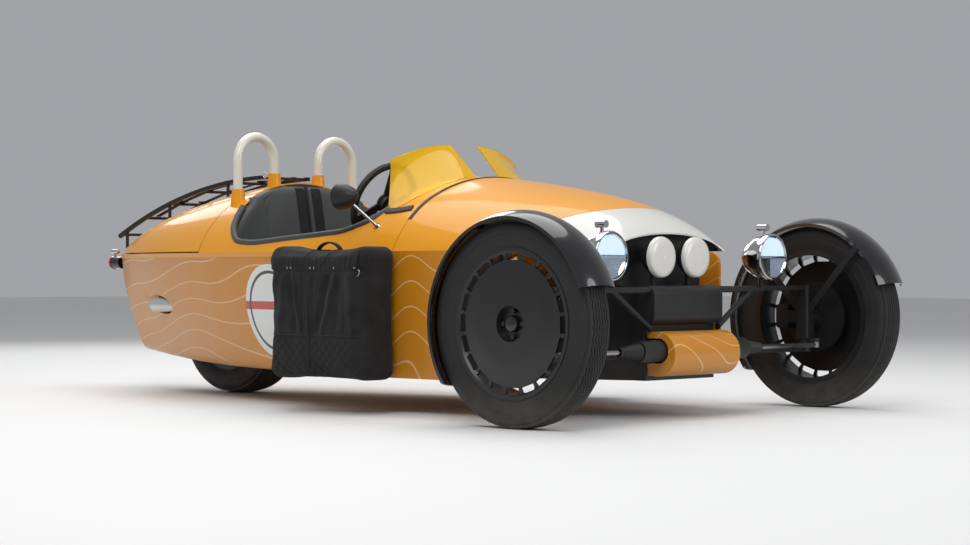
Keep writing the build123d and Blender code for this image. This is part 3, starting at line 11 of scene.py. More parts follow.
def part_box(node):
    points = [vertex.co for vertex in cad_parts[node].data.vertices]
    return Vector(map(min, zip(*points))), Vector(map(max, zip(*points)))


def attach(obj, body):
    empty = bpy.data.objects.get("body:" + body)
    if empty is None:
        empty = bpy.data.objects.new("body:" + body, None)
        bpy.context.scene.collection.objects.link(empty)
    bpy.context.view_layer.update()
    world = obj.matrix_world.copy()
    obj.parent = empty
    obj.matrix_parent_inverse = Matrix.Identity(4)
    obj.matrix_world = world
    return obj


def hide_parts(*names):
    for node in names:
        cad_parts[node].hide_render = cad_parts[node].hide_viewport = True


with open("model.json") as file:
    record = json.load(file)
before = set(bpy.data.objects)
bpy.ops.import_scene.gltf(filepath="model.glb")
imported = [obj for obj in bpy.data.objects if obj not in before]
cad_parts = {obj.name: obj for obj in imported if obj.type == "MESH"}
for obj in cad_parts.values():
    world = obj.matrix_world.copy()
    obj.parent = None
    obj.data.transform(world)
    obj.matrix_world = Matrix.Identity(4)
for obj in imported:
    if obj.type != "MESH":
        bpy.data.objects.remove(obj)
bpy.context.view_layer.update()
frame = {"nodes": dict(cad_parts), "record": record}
cadNodes = frame["nodes"]
bodyOfNode = {n: b for b, members in frame["record"]["behaviour"]["bodies"].items() for n in members}
tyreLow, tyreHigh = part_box("tyre_front_right")
frontAxleX = (tyreLow.x + tyreHigh.x) / 2
sides = (("right", -1), ("left", 1))
print("frame loaded,", len(cadNodes), "nodes")


# Shader helpers: an input that is a socket is linked, any other value is set
def addNode(tree, kind, props=None, inputs=None):
    node = tree.nodes.new(kind)
    for key, value in (props or {}).items():
        setattr(node, key, value)
    for key, value in (inputs or {}).items():
        if isinstance(value, bpy.types.NodeSocket):
            tree.links.new(value, node.inputs[key])
        else:
            node.inputs[key].default_value = value
    return node


def addMath(tree, operation, first, second=0.0, clamp=False):
    props = {"operation": operation, "use_clamp": clamp}
    return addNode(tree, "ShaderNodeMath", props, {0: first, 1: second}).outputs[0]


def addNoise(tree, place, scale, detail):
    inputs = {"Vector": place, "Scale": scale, "Detail": detail}
    return addNode(tree, "ShaderNodeTexNoise", None, inputs).outputs["Fac"]


def mixColor(tree, factor, first, second):
    first, second = [(*c, 1) if isinstance(c, tuple) else c for c in (first, second)]
    node = addNode(tree, "ShaderNodeMix", {"data_type": "RGBA"}, {0: factor, 6: first, 7: second})
    return node.outputs[2]


def splitAxes(tree, place):
    return addNode(tree, "ShaderNodeSeparateXYZ", None, {0: place}).outputs


def nearMask(tree, value, place, width):
    off = addMath(tree, "ABSOLUTE", addMath(tree, "SUBTRACT", value, place))
    return addMath(tree, "LESS_THAN", off, width)


def newGroup(name, inputs, outputs):
    tree = bpy.data.node_groups.new(name, "ShaderNodeTree")
    for label, kind, value in inputs:
        socket = tree.interface.new_socket(label, in_out="INPUT", socket_type=kind)
        if value is not None:
            socket.default_value = value
    for label, kind in outputs:
        tree.interface.new_socket(label, in_out="OUTPUT", socket_type=kind)
    return tree, tree.nodes.new("NodeGroupInput").outputs, tree.nodes.new("NodeGroupOutput").inputs


floatKind, colorKind, vectorKind = "NodeSocketFloat", "NodeSocketColor", "NodeSocketVector"


# Slow drift of a finish: a second tone in soft patches and a roughness that wanders
def makeFinishDrift():
    tree, given, out = newGroup(
        "finishDrift",
        [("Vector", vectorKind, None), ("Tone", colorKind, None), ("Second", colorKind, None),
         ("Scale", floatKind, 3.0), ("Roughness", floatKind, 0.4), ("Spread", floatKind, 0.1)],
        [("Color", colorKind), ("Roughness", floatKind)],
    )
    noise = addNoise(tree, given["Vector"], given["Scale"], 4.0)
    tree.links.new(mixColor(tree, noise, given["Tone"], given["Second"]), out["Color"])
    swing = addMath(tree, "MULTIPLY", addMath(tree, "SUBTRACT", noise, 0.5), given["Spread"])
    tree.links.new(addMath(tree, "ADD", given["Roughness"], swing, True), out["Roughness"])
    return tree


# Fine moulded or cast grain as a normal
def makeFineGrain():
    tree, given, out = newGroup(
        "fineGrain",
        [("Vector", vectorKind, None), ("Scale", floatKind, 600.0), ("Depth", floatKind, 0.0004)],
        [("Normal", vectorKind)],
    )
    noise = addNoise(tree, given["Vector"], given["Scale"], 3.0)
    bump = addNode(tree, "ShaderNodeBump", None, {"Height": noise, "Distance": given["Depth"]})
    tree.links.new(bump.outputs[0], out["Normal"])
    return tree


# Plain weave: crossing threads, as a height and a shade; the shade is painted shade that darkens the hollows
# between threads, mottled by noise
def makePlainWeave():
    tree, given, out = newGroup(
        "plainWeave",
        [("Vector", vectorKind, None), ("Threads", floatKind, 500.0)],
        [("Height", floatKind), ("Shade", floatKind)],
    )
    axes = splitAxes(tree, given["Vector"])
    across = addMath(tree, "MULTIPLY", addMath(tree, "ADD", axes[0], axes[1]), given["Threads"])
    along = addMath(tree, "MULTIPLY", axes[2], given["Threads"])
    warp = addMath(tree, "SINE", addMath(tree, "MULTIPLY", across, math.tau))
    weft = addMath(tree, "SINE", addMath(tree, "MULTIPLY", along, math.tau))
    crossing = addMath(tree, "MULTIPLY", addMath(tree, "MULTIPLY", warp, weft), 0.5)
    height = addMath(tree, "ADD", crossing, 0.5)
    tree.links.new(height, out["Height"])
    noise = addNoise(tree, given["Vector"], 14.0, 5.0)
    # Painted shade: the colour mix is darker where the weave is low and lighter on the thread crests
    tree.links.new(addMath(tree, "MULTIPLY", noise, addMath(tree, "ADD", height, 0.6)), out["Shade"])
    return tree


# Thin level lines that flow along the body in slow waves
def makeWaveLines():
    tree, given, out = newGroup(
        "waveLines",
        [("Vector", vectorKind, None), ("Scale", floatKind, 1.5), ("Bend", floatKind, 5.0),
         ("Rows", floatKind, 11.0), ("Width", floatKind, 0.03)],
        [("Mask", floatKind)],
    )
    noise = addNoise(tree, given["Vector"], given["Scale"], 0.0)
    level = addMath(tree, "MULTIPLY", splitAxes(tree, given["Vector"])[2], given["Rows"])
    swell = addMath(tree, "MULTIPLY", noise, given["Bend"])
    rows = addMath(tree, "FRACT", addMath(tree, "ADD", level, swell))
    tree.links.new(nearMask(tree, rows, 0.5, given["Width"]), out["Mask"])
    return tree


# Road dust that thins out above the ground
def makeGroundDust():
    tree, given, out = newGroup(
        "groundDust",
        [("Vector", vectorKind, None), ("Top", floatKind, 0.4), ("Amount", floatKind, 0.3)],
        [("Mask", floatKind)],
    )
    height = addMath(tree, "DIVIDE", splitAxes(tree, given["Vector"])[2], given["Top"])
    low = addMath(tree, "SUBTRACT", 1.0, height, True)
    noise = addNoise(tree, given["Vector"], 22.0, 6.0)
    spread = addMath(tree, "MULTIPLY", addMath(tree, "MULTIPLY", low, noise), given["Amount"], True)
    tree.links.new(spread, out["Mask"])
    return tree


groups = {
    "drift": makeFinishDrift(),
    "grain": makeFineGrain(),
    "weave": makePlainWeave(),
    "waves": makeWaveLines(),
    "dust": makeGroundDust(),
}


def useGroup(tree, key, inputs):
    return addNode(tree, "ShaderNodeGroup", {"node_tree": groups[key]}, inputs).outputs


def addDrift(tree, place, tone, second, wear):
    rough, spread, scale = wear
    return useGroup(tree, "drift", {
        "Vector": place, "Tone": (*tone, 1), "Second": (*second, 1),
        "Scale": scale, "Roughness": rough, "Spread": spread,
    })


def addDust(tree, place, color, dust, tone):
    mask = useGroup(tree, "dust", {"Vector": place, "Top": dust[0], "Amount": dust[1]})["Mask"]
    return mixColor(tree, mask, color, tone)


def newMaterial(name, constants):
    material = bpy.data.materials.new(name)
    material.use_nodes = True
    tree = material.node_tree
    shader = tree.nodes["Principled BSDF"]
    for key, value in constants.items():
        shader.inputs[key].default_value = value
    place = tree.nodes.new("ShaderNodeTexCoord").outputs["Object"]
    return material, tree, shader, place


dustTone = (0.30, 0.27, 0.23)


# Drifting finish with an optional grain and dust: the base of most materials here
def driftMaterial(name, tone, second, wear, grain=None, dust=None, constants=None):
    material, tree, shader, place = newMaterial(name, constants or {})
    drift = addDrift(tree, place, tone, second, wear)
    color = addDust(tree, place, drift["Color"], dust, dustTone) if dust else drift["Color"]
    tree.links.new(color, shader.inputs["Base Color"])
    tree.links.new(drift["Roughness"], shader.inputs["Roughness"])
    if grain:
        normal = useGroup(tree, "grain", {"Vector": place, "Scale": grain[0], "Depth": grain[1]})["Normal"]
        tree.links.new(normal, shader.inputs["Normal"])
    return material


# Body colours and the side graphic: stations in metres behind the front axle, heights, radii
livery = {
    "orange": (0.80, 0.335, 0.003), "orangeDeep": (0.74, 0.295, 0.003),
    "ochre": (0.60, 0.235, 0.010), "ochreDeep": (0.54, 0.205, 0.008), "wear": (0.34, 0.08, 1.6),
    "line": (0.80, 0.56, 0.30), "lineLevel": 0.62, "moulding": (0.74, 0.30, 0.02), "mouldingLow": 0.573,
    "discBack": 1.60, "discUp": 0.365, "discRadius": 0.181,
    "ringAt": 0.150, "ringWidth": 0.006, "bandUp": 0.020, "bandWidth": 0.016,
    "discWhite": (0.72, 0.74, 0.72), "ringDark": (0.05, 0.05, 0.05), "bandRed": (0.52, 0.06, 0.06),
    "dust": (0.34, 0.22), "dustTone": (0.36, 0.28, 0.18),
    "coat": {"Coat Weight": 0.35, "Coat Roughness": 0.18},
}


def makeLiveryMaterial(name, withDisc, scale):
    material, tree, shader, place = newMaterial(name, livery["coat"])
    drift = addDrift(tree, place, livery["ochre"], livery["ochreDeep"], livery["wear"])
    lines = useGroup(tree, "waves", {"Vector": place, "Scale": scale})["Mask"]
    level = addMath(tree, "MULTIPLY", lines, livery["lineLevel"])
    color = mixColor(tree, level, drift["Color"], livery["line"])
    if withDisc:
        axes = splitAxes(tree, place)
        dx = addMath(tree, "SUBTRACT", axes[0], frontAxleX - livery["discBack"])
        dz = addMath(tree, "SUBTRACT", axes[2], livery["discUp"])
        squares = [addMath(tree, "POWER", addMath(tree, "ABSOLUTE", off), 2.0) for off in (dx, dz)]
        away = addMath(tree, "SQRT", addMath(tree, "ADD", *squares))
        inside = addMath(tree, "LESS_THAN", away, livery["discRadius"])
        ring = nearMask(tree, away, livery["ringAt"], livery["ringWidth"])
        band = nearMask(tree, dz, livery["bandUp"], livery["bandWidth"])
        disc = mixColor(tree, band, livery["discWhite"], livery["bandRed"])
        disc = mixColor(tree, ring, disc, livery["ringDark"])
        color = mixColor(tree, inside, color, disc)
        trim = addMath(tree, "GREATER_THAN", axes[2], livery["mouldingLow"])
        color = mixColor(tree, trim, color, livery["moulding"])
    color = addDust(tree, place, color, livery["dust"], livery["dustTone"])
    tree.links.new(color, shader.inputs["Base Color"])
    tree.links.new(drift["Roughness"], shader.inputs["Roughness"])
    return material


def makeFabric(name, tone, second, threads, depth, constants):
    material, tree, shader, place = newMaterial(name, constants)
    weave = useGroup(tree, "weave", {"Vector": place, "Threads": threads})
    # The weave's shade darkens the colour in the hollows between threads: painted shade, with a random mottle
    tree.links.new(mixColor(tree, weave["Shade"], tone, second), shader.inputs["Base Color"])
    bump = addNode(tree, "ShaderNodeBump", None, {"Height": weave["Height"], "Distance": depth})
    tree.links.new(bump.outputs[0], shader.inputs["Normal"])
    return material


# Clear pieces have a faint slow ripple
def makeClear(name, tone, constants):
    material, tree, shader, place = newMaterial(name, {"Base Color": (*tone, 1), **constants})
    normal = useGroup(tree, "grain", {"Vector": place, "Scale": 9.0, "Depth": 0.0002})["Normal"]
    tree.links.new(normal, shader.inputs["Normal"])
    return material


gloss = {"Coat Weight": 0.8, "Coat Roughness": 0.03, "Specular IOR Level": 0.3}
paintGloss = {"Coat Weight": 0.5, "Coat Roughness": 0.08, "Specular IOR Level": 0.2}
discGloss = {"Coat Weight": 0.25, "Coat Roughness": 0.2, "Specular IOR Level": 0.35}
bright = {"Metallic": 1.0}
leather = {"Sheen Weight": 0.05, "Specular IOR Level": 0.35}
canvas = {"Roughness": 0.82, "Sheen Weight": 0.06, "Sheen Roughness": 0.5, "Specular IOR Level": 0.15}
webbing = {"Roughness": 0.75, "Sheen Weight": 0.04, "Specular IOR Level": 0.2}
tinted = {
    "Roughness": 0.03, "IOR": 1.12, "Transmission Weight": 0.62, "Coat Weight": 0.5, "Coat Roughness": 0.04,
}
glass = {"Roughness": 0.02, "IOR": 1.25, "Transmission Weight": 1.0}
# Emission of the headlamp half discs: a painted glow that stands in for reflected studio light
glowEmission = {"Emission Color": (0.80, 0.90, 1.0, 1), "Emission Strength": 0.55}

# Drifting finishes: name, two tones, (roughness, its spread, scale of the patches), then what else it has:
# grain as scale and depth, dust as top and amount, constants of the shader
driftRows = {
    "orange": ("bodyOrange", livery["orange"], livery["orangeDeep"], (0.42, 0.06, 1.4),
               {"constants": paintGloss}),
    "white": ("cowlWhite", (0.70, 0.69, 0.65), (0.64, 0.63, 0.59), (0.34, 0.06, 2.0), {"constants": gloss}),
    "glossBlack": ("glossBlack", (0.006, 0.006, 0.007), (0.010, 0.010, 0.011), (0.22, 0.06, 4.0),
                   {"dust": (0.2, 0.3), "constants": gloss}),
    "satinBlack": ("satinBlack", (0.014, 0.014, 0.015), (0.022, 0.022, 0.023), (0.44, 0.14, 9.0),
                   {"grain": (420.0, 0.0003), "dust": (0.3, 0.25), "constants": {"Specular IOR Level": 0.3}}),
    "discBlack": ("discBlack", (0.010, 0.010, 0.011), (0.015, 0.015, 0.016), (0.34, 0.10, 6.0),
                  {"constants": discGloss}),
    "tyre": ("tyreRubber", (0.014, 0.014, 0.014), (0.028, 0.027, 0.026), (0.62, 0.16, 16.0),
             {"grain": (900.0, 0.0002), "dust": (0.16, 0.35), "constants": {"Specular IOR Level": 0.25}}),
    "cream": ("hoopCream", (0.74, 0.71, 0.62), (0.69, 0.66, 0.57), (0.30, 0.06, 5.0), {"constants": gloss}),
    "chrome": ("chromeTrim", (0.62, 0.62, 0.63), (0.55, 0.55, 0.56), (0.08, 0.04, 12.0),
               {"constants": bright}),
    "metal": ("bareMetal", (0.42, 0.42, 0.43), (0.34, 0.34, 0.35), (0.28, 0.12, 18.0),
              {"grain": (260.0, 0.0001), "constants": bright}),
    "pipe": ("pipeSteel", (0.66, 0.67, 0.66), (0.56, 0.57, 0.57), (0.30, 0.10, 9.0),
             {"grain": (300.0, 0.0001), "constants": {"Metallic": 0.6}}),
    "rubber": ("bootRubber", (0.012, 0.012, 0.012), (0.020, 0.020, 0.020), (0.55, 0.12, 20.0),
               {"grain": (700.0, 0.0002)}),
    "interior": ("interiorBlack", (0.014, 0.014, 0.014), (0.022, 0.021, 0.020), (0.60, 0.12, 12.0),
                 {"grain": (500.0, 0.0004)}),
    "seat": ("seatGrey", (0.046, 0.050, 0.049), (0.062, 0.066, 0.064), (0.50, 0.12, 8.0),
             {"grain": (520.0, 0.0006), "constants": leather}),
    "thread": ("stitchThread", (0.045, 0.045, 0.046), (0.065, 0.065, 0.066), (0.70, 0.10, 40.0), {}),
    "red": ("lampRed", (0.42, 0.010, 0.012), (0.32, 0.008, 0.010), (0.16, 0.05, 30.0), {"constants": gloss}),
    "mirror": ("mirrorGlass", (0.78, 0.80, 0.82), (0.74, 0.76, 0.78), (0.03, 0.01, 4.0),
               {"constants": bright}),
    # Painted glow: the headlamp half discs emit light in place of a reflection
    "glow": ("lampGlow", (0.80, 0.88, 1.0), (0.75, 0.84, 1.0), (0.25, 0.05, 30.0), {"constants": glowEmission}),
    "dial": ("dialFace", (0.02, 0.02, 0.02), (0.03, 0.03, 0.03), (0.5, 0.05, 30.0), {}),
    "dialMark": ("dialMark", (0.75, 0.74, 0.70), (0.70, 0.69, 0.66), (0.5, 0.05, 30.0), {}),
}
finish = {key: driftMaterial(*row, **more) for key, (*row, more) in driftRows.items()}
threadDark = (0.006, 0.006, 0.007)
finish.update({
    "ochre": makeLiveryMaterial("bodyOchre", True, 1.5),
    "bumper": makeLiveryMaterial("bumperOchre", False, 3.4),
    "canvas": makeFabric("bagCanvas", threadDark, (0.030, 0.030, 0.032), 420.0, 0.0006, canvas),
    "webbing": makeFabric("strapWebbing", threadDark, (0.022, 0.022, 0.024), 650.0, 0.0005, webbing),
    "amberScreen": makeClear("screenAmber", (1.0, 0.64, 0.02), tinted),
    "lens": makeClear("lampGlass", (0.86, 0.93, 1.0), glass),
})
print("materials made:", len(finish))


def behind(distance):
    return frontAxleX - distance


def between(first, last, share):
    return first + (last - first) * share


# Rays on a piece: straight down from a height, and inward from one metre out at the side
def surfaceOf(piece):
    mesh = piece.data
    return BVHTree.FromPolygons([v.co for v in mesh.vertices], [p.vertices for p in mesh.polygons])


def hitDown(surface, x, y, top):
    return surface.ray_cast(Vector((x, y, top)), Vector((0, 0, -1)))[0]


def hitSide(surface, x, side, z):
    return surface.ray_cast(Vector((x, side * 1.0, z)), Vector((0, -side, 0)))[:2]


# Mesh helpers: a shape is a pair of vertex and face lists
def latheShape(profile, origin, axis, segments=48):
    axis = Vector(axis).normalized()
    side = axis.orthogonal().normalized()
    up = axis.cross(side)
    vertices, rings, faces = [], [], []
    for along, radius in profile:
        centre = Vector(origin) + axis * along
        if radius < 1e-6:
            rings.append([len(vertices)])
            vertices.append(centre)
            continue
        rings.append(list(range(len(vertices), len(vertices) + segments)))
        for step in range(segments):
            turn = math.tau * step / segments
            vertices.append(centre + (side * math.cos(turn) + up * math.sin(turn)) * radius)
    for first, second in zip(rings, rings[1:]):
        for step in range(segments):
            after = (step + 1) % segments
            if len(first) == 1 and len(second) == 1:
                continue
            if len(first) == 1:
                faces.append((first[0], second[step], second[after]))
            elif len(second) == 1:
                faces.append((first[step], second[0], first[after]))
            else:
                faces.append((first[step], second[step], second[after], first[after]))
    return vertices, faces


bandCorner = 0.35


def boxedOut(value):
    return math.copysign(abs(value) ** bandCorner, value)


# A round tube, or with flat = (half width, half thickness) a band with soft corners
def tubeShape(points, radius, segments=12, closed=False, flat=None, up=(0, 0, 1)):
    points = [Vector(p) for p in points]
    count = len(points)
    vertices, faces = [], []
    guide = Vector(up)
    for index, point in enumerate(points):
        ahead = points[(index + 1) % count] if closed or index < count - 1 else point
        before = points[index - 1] if closed or index > 0 else point
        heading = (ahead - before).normalized()
        across = heading.cross(guide)
        if across.length < 1e-4:
            across = heading.orthogonal()
        across.normalize()
        lift = across.cross(heading).normalized()
        for step in range(segments):
            turn = math.tau * (step + 0.5) / segments
            if flat:
                reach = across * (flat[0] * boxedOut(math.cos(turn)))
                vertices.append(point + reach + lift * (flat[1] * boxedOut(math.sin(turn))))
            else:
                vertices.append(point + (across * math.cos(turn) + lift * math.sin(turn)) * radius)
    for index in range(count if closed else count - 1):
        first, second = index * segments, ((index + 1) % count) * segments
        for step in range(segments):
            after = (step + 1) % segments
            faces.append((first + step, first + after, second + after, second + step))
    if not closed:
        faces.append(tuple(range(segments - 1, -1, -1)))
        faces.append(tuple(range((count - 1) * segments, count * segments)))
    return vertices, faces


def bandShape(points, size, up=(0, 0, 1)):
    return tubeShape(points, 0.0, 12, False, size, up)


def wireRing(centre, radius, wire):
    turns = np.linspace(0, math.tau, 25)[:-1]
    loop = [centre + Vector((radius * math.cos(a), 0, radius * math.sin(a))) for a in turns]
    return tubeShape(loop, wire, 10, True, None, (0, 1, 0))


def blockShape(centre, size, rounding, turn=None):
    build = bmesh.new()
    bmesh.ops.create_cube(build, size=1.0)
    bmesh.ops.scale(build, vec=size, verts=build.verts)
    if rounding:
        rims = list(build.edges)
        bmesh.ops.bevel(build, geom=rims, offset=rounding, segments=2, profile=0.5, affect="EDGES")
    if turn:
        bmesh.ops.transform(build, matrix=turn, verts=build.verts)
    bmesh.ops.translate(build, vec=Vector(centre), verts=build.verts)
    build.verts.index_update()
    vertices = [v.co.copy() for v in build.verts]
    faces = [tuple(v.index for v in f.verts) for f in build.faces]
    build.free()
    return vertices, faces


def sideCopies(shape):
    flipped = [Vector((v[0], -v[1], v[2])) for v in shape[0]]
    return [shape, (flipped, [tuple(reversed(f)) for f in shape[1]])]


# Two grids of points joined round their rim into one closed sheet
def closedSheet(front, back, columns, rows):
    wide, count = columns + 1, len(front)
    faces = []
    for row in range(rows):
        for column in range(columns):
            corner = row * wide + column
            quad = (corner, corner + 1, corner + 1 + wide, corner + wide)
            faces += [quad, tuple(i + count for i in reversed(quad))]
    rim = list(range(wide)) + [row * wide + columns for row in range(1, rows + 1)]
    rim += [rows * wide + column for column in range(columns - 1, -1, -1)]
    rim += [row * wide for row in range(rows - 1, 0, -1)]
    for first, second in zip(rim, rim[1:] + rim[:1]):
        faces.append((first, second, second + count, first + count))
    return front + back, faces


def shadeByAngle(build, limit):
    for face in build.faces:
        face.smooth = True
    for edge in build.edges:
        edge.smooth = edge.calc_face_angle(0.0) < math.radians(limit)


def linkPiece(name, data):
    piece = bpy.data.objects.new(name, data)
    bpy.context.scene.collection.objects.link(piece)
    return piece


def builtPiece(name, build):
    mesh = bpy.data.meshes.new(name)
    build.to_mesh(mesh)
    build.free()
    return linkPiece(name, mesh)


def evaluatedMesh(piece):
    return bpy.data.meshes.new_from_object(piece.evaluated_get(bpy.context.evaluated_depsgraph_get()))


def settle(piece, material, body, replaced=()):
    piece.data.materials.clear()
    piece.data.materials.append(finish[material])
    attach(piece, body)
    if replaced:
        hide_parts(*replaced)
    return piece


def shapePiece(name, shapes, material, body, replaced=(), limit=35):
    build = bmesh.new()
    for vertices, faces in shapes:
        made = [build.verts.new(v) for v in vertices]
        for face in faces:
            build.faces.new([made[i] for i in face])
    bmesh.ops.remove_doubles(build, verts=build.verts, dist=1e-6)
    bmesh.ops.recalc_face_normals(build, faces=build.faces)
    shadeByAngle(build, limit)
    return settle(builtPiece(name, build), material, body, replaced)


# A finished skin over a CAD piece: triangles joined, soft faces shaded, hard edges broken
def skinPiece(node, material, limit=30, edge=0.0, name=None, keep=None):
    build = bmesh.new()
    build.from_mesh(cadNodes[node].data)
    if keep:
        gone = [f for f in build.faces if not keep(f)]
        bmesh.ops.delete(build, geom=gone, context="FACES")
    bmesh.ops.remove_doubles(build, verts=build.verts, dist=2e-5)
    bmesh.ops.dissolve_degenerate(build, dist=1e-6, edges=build.edges)
    if edge:
        flat, sharp = math.radians(1.0), math.radians(limit)
        bmesh.ops.dissolve_limit(build, angle_limit=flat, verts=build.verts, edges=build.edges)
        hard = [e for e in build.edges if len(e.link_faces) == 2 and e.calc_face_angle(0.0) > sharp]
        bmesh.ops.bevel(
            build, geom=hard, offset=edge, segments=2, profile=0.6, affect="EDGES", clamp_overlap=True
        )
    shadeByAngle(build, limit)
    piece = builtPiece(name or node + "_skin", build)
    return settle(piece, material, bodyOfNode[node], [node])


# One CAD piece in two finishes: the faces that pass a test, and the others
def splitSkin(node, test, rows):
    for name, material, slot, limit, passing in rows:
        skinPiece(node, material, limit, 0.0, name, lambda face: test(face) == passing)


# Camera, floor and soft studio light
shot = {
    "place": (6.482, -6.352, 0.522), "heading": (-0.687, 0.727, -0.001), "lens": 84.2, "sensor": 36.0,
    "clip": (0.1, 200.0), "lampsLookAt": (0, 0, 0.4), "worldTone": (0.95, 0.96, 1.0), "worldLevel": 0.38,
    "floorSize": 60.0, "floorTone": (0.80, 0.80, 0.79), "floorWear": (0.75, 0.04, 2.0),
}
lamps = [
    {"name": "keyLamp", "place": (3.6, -5.2, 5.6), "size": 4.5, "power": 230.0},
    {"name": "roofLamp", "place": (-0.5, 0.4, 5.2), "size": 5.5, "power": 170.0},
    {"name": "frontLamp", "place": (7.5, 1.5, 3.2), "size": 3.5, "power": 120.0},
    {"name": "rearLamp", "place": (-5.5, 3.0, 4.0), "size": 4.0, "power": 110.0},
]


def aimPiece(name, data, place, heading):
    piece = linkPiece(name, data)
    piece.location = place
    piece.rotation_mode = "QUATERNION"
    piece.rotation_quaternion = Vector(heading).to_track_quat("-Z", "Y")
    return piece


def makeStage():
    scene = bpy.context.scene
    camera = bpy.data.cameras.new("shotCamera")
    camera.lens, camera.sensor_width = shot["lens"], shot["sensor"]
    camera.clip_start, camera.clip_end = shot["clip"]
    scene.camera = aimPiece("shotCamera", camera, shot["place"], shot["heading"])
    for row in lamps:
        light = bpy.data.lights.new(row["name"], "AREA")
        light.shape, light.size, light.energy = "DISK", row["size"], row["power"]
        heading = Vector(shot["lampsLookAt"]) - Vector(row["place"])
        aimPiece(row["name"], light, row["place"], heading)
    half = shot["floorSize"] / 2
    ground = bpy.data.meshes.new("studioFloor")
    corners = [(-half, -half, 0), (half, -half, 0), (half, half, 0), (-half, half, 0)]
    ground.from_pydata(corners, [], [(0, 1, 2, 3)])
    tone = shot["floorTone"]
    ground.materials.append(driftMaterial("studioFloor", tone, tone, shot["floorWear"]))
    linkPiece("studioFloor", ground)
    world = bpy.data.worlds.new("studioWorld")
    world.use_nodes = True
    sky = world.node_tree.nodes["Background"].inputs
    sky["Color"].default_value = (*shot["worldTone"], 1)
    sky["Strength"].default_value = shot["worldLevel"]
    scene.world = world
    scene.view_settings.view_transform = "Standard"


makeStage()
print("stage made")

# CAD pieces that keep their form: node, finish, slot, shading angle, broken edge in metres
skins = [
    ("bonnet", "orange", "body_orange", 32, 0.0),
    ("nose_cowl", "white", "cowl_white", 32, 0.0),
    ("boot_lid", "orange", "body_orange", 32, 0.0),
    ("luggage_rack", "satinBlack", "satin_black", 30, 0.0),
    ("roll_hoops", "cream", "hoop_cream", 40, 0.0),
    ("bulkheads", "seat", "seat_grey", 30, 0.0),
    ("boot_floor", "interior", "interior_black", 30, 0.0),
    ("swing_arm", "satinBlack", "satin_black", 30, 0.002),
    ("engine_block", "metal", "bare_metal", 30, 0.006),
    ("dashboard", "interior", "interior_black", 30, 0.0),
    ("side_blades", "bumper", "body_ochre", 30, 0.0),
    ("front_casting", "satinBlack", "satin_black", 30, 0.010),
    ("front_bumper", "bumper", "body_ochre", 30, 0.0),
    ("steering_rack", "satinBlack", "satin_black", 30, 0.0),
    ("wishbones", "satinBlack", "satin_black", 30, 0.0),
    ("spot_lamps", "satinBlack", "satin_black", 40, 0.0),
    ("spot_covers", "white", "cowl_white", 40, 0.0),
    ("indicators", "chrome", "chrome_trim", 40, 0.0),
    ("tail_lamps", "glossBlack", "gloss_black", 40, 0.0),
    ("tail_lenses", "red", "lamp_red", 40, 0.0),
    ("plate_holder", "orange", "body_orange", 30, 0.0015),
    ("exhaust_pipe", "pipe", "pipe_steel", 40, 0.0),
    ("mirror_glasses", "mirror", "mirror_glass", 40, 0.0),
    ("tie_rods", "metal", "bare_metal", 30, 0.0),
    ("knuckle_right", "satinBlack", "satin_black", 30, 0.0),
    ("knuckle_left", "satinBlack", "satin_black", 30, 0.0),
    ("mudguard_right", "glossBlack", "gloss_black", 40, 0.0),
    ("mudguard_left", "glossBlack", "gloss_black", 40, 0.0),
    ("wheel_front_right", "discBlack", "satin_black", 40, 0.0),
    ("wheel_front_left", "discBlack", "satin_black", 40, 0.0),
    ("wheel_rear", "discBlack", "satin_black", 40, 0.0),
    ("steering_wheel", "interior", "interior_black", 40, 0.0),
]
for node, material, slot, limit, edge in skins:
    skinPiece(node, material, limit, edge)
print("skins made:", len(skins))

# Body shells: painted outside, dark lining where a face looks to the middle of the body or is its floor
lining = {"axisUp": 0.45, "least": 0.25, "floorTop": 0.30, "level": 0.7}


def facesInside(face):
    point = face.calc_center_median()
    inward = Vector((0, -point.y, lining["axisUp"] - point.z))
    if face.normal.z > lining["level"] and point.z < lining["floorTop"]:
        return True
    return inward.length > 1e-6 and face.normal.dot(inward.normalized()) > lining["least"]


for node, material, slot in (("tub", "ochre", "body_ochre"), ("cockpit_surround", "orange", "body_orange")):
    splitSkin(node, facesInside, (
        (node + "_paint", material, slot, 32, False),
        (node + "_lining", "interior", "interior_black", 32, True),
    ))

# Screens: clear sheets just behind the bonnet seam that lean back and wrap round at the outer end.
# Corners as (distance behind the front axle, distance from the middle)
screen = {
    "baseInner": (0.943, 0.068), "baseOuter": (1.036, 0.442), "spread": 1.6, "baseSweep": 3, "lift": 0.0008,
    "topInner": (1.071, 0.075), "topOuter": (1.121, 0.347), "topHigh": 1.004, "topDrop": 0.062, "topSweep": 2,
    "lean": 0.6, "thick": 0.0040, "above": 1.3, "columns": 36, "rows": 16,
}


def screenPoint(across, up, side, shells):
    baseX = behind(between(screen["baseInner"][0], screen["baseOuter"][0], across ** screen["baseSweep"]))
    wide = 1 - (1 - across) ** screen["spread"]
    baseY = side * between(screen["baseInner"][1], screen["baseOuter"][1], wide)
    hits = [hitDown(shell, baseX, baseY, screen["above"]) for shell in shells]
    base = Vector((baseX, baseY, max(h.z for h in hits if h) + screen["lift"]))
    curve = across ** screen["topSweep"]
    topX = behind(between(screen["topInner"][0], screen["topOuter"][0], curve))
    topY = side * between(screen["topInner"][1], screen["topOuter"][1], across)
    top = Vector((topX, topY, screen["topHigh"] - screen["topDrop"] * curve))
    flat = base.lerp(top, 1 - (1 - up) ** (1 + screen["lean"] * across))
    return Vector((flat.x, flat.y, between(base.z, top.z, up)))


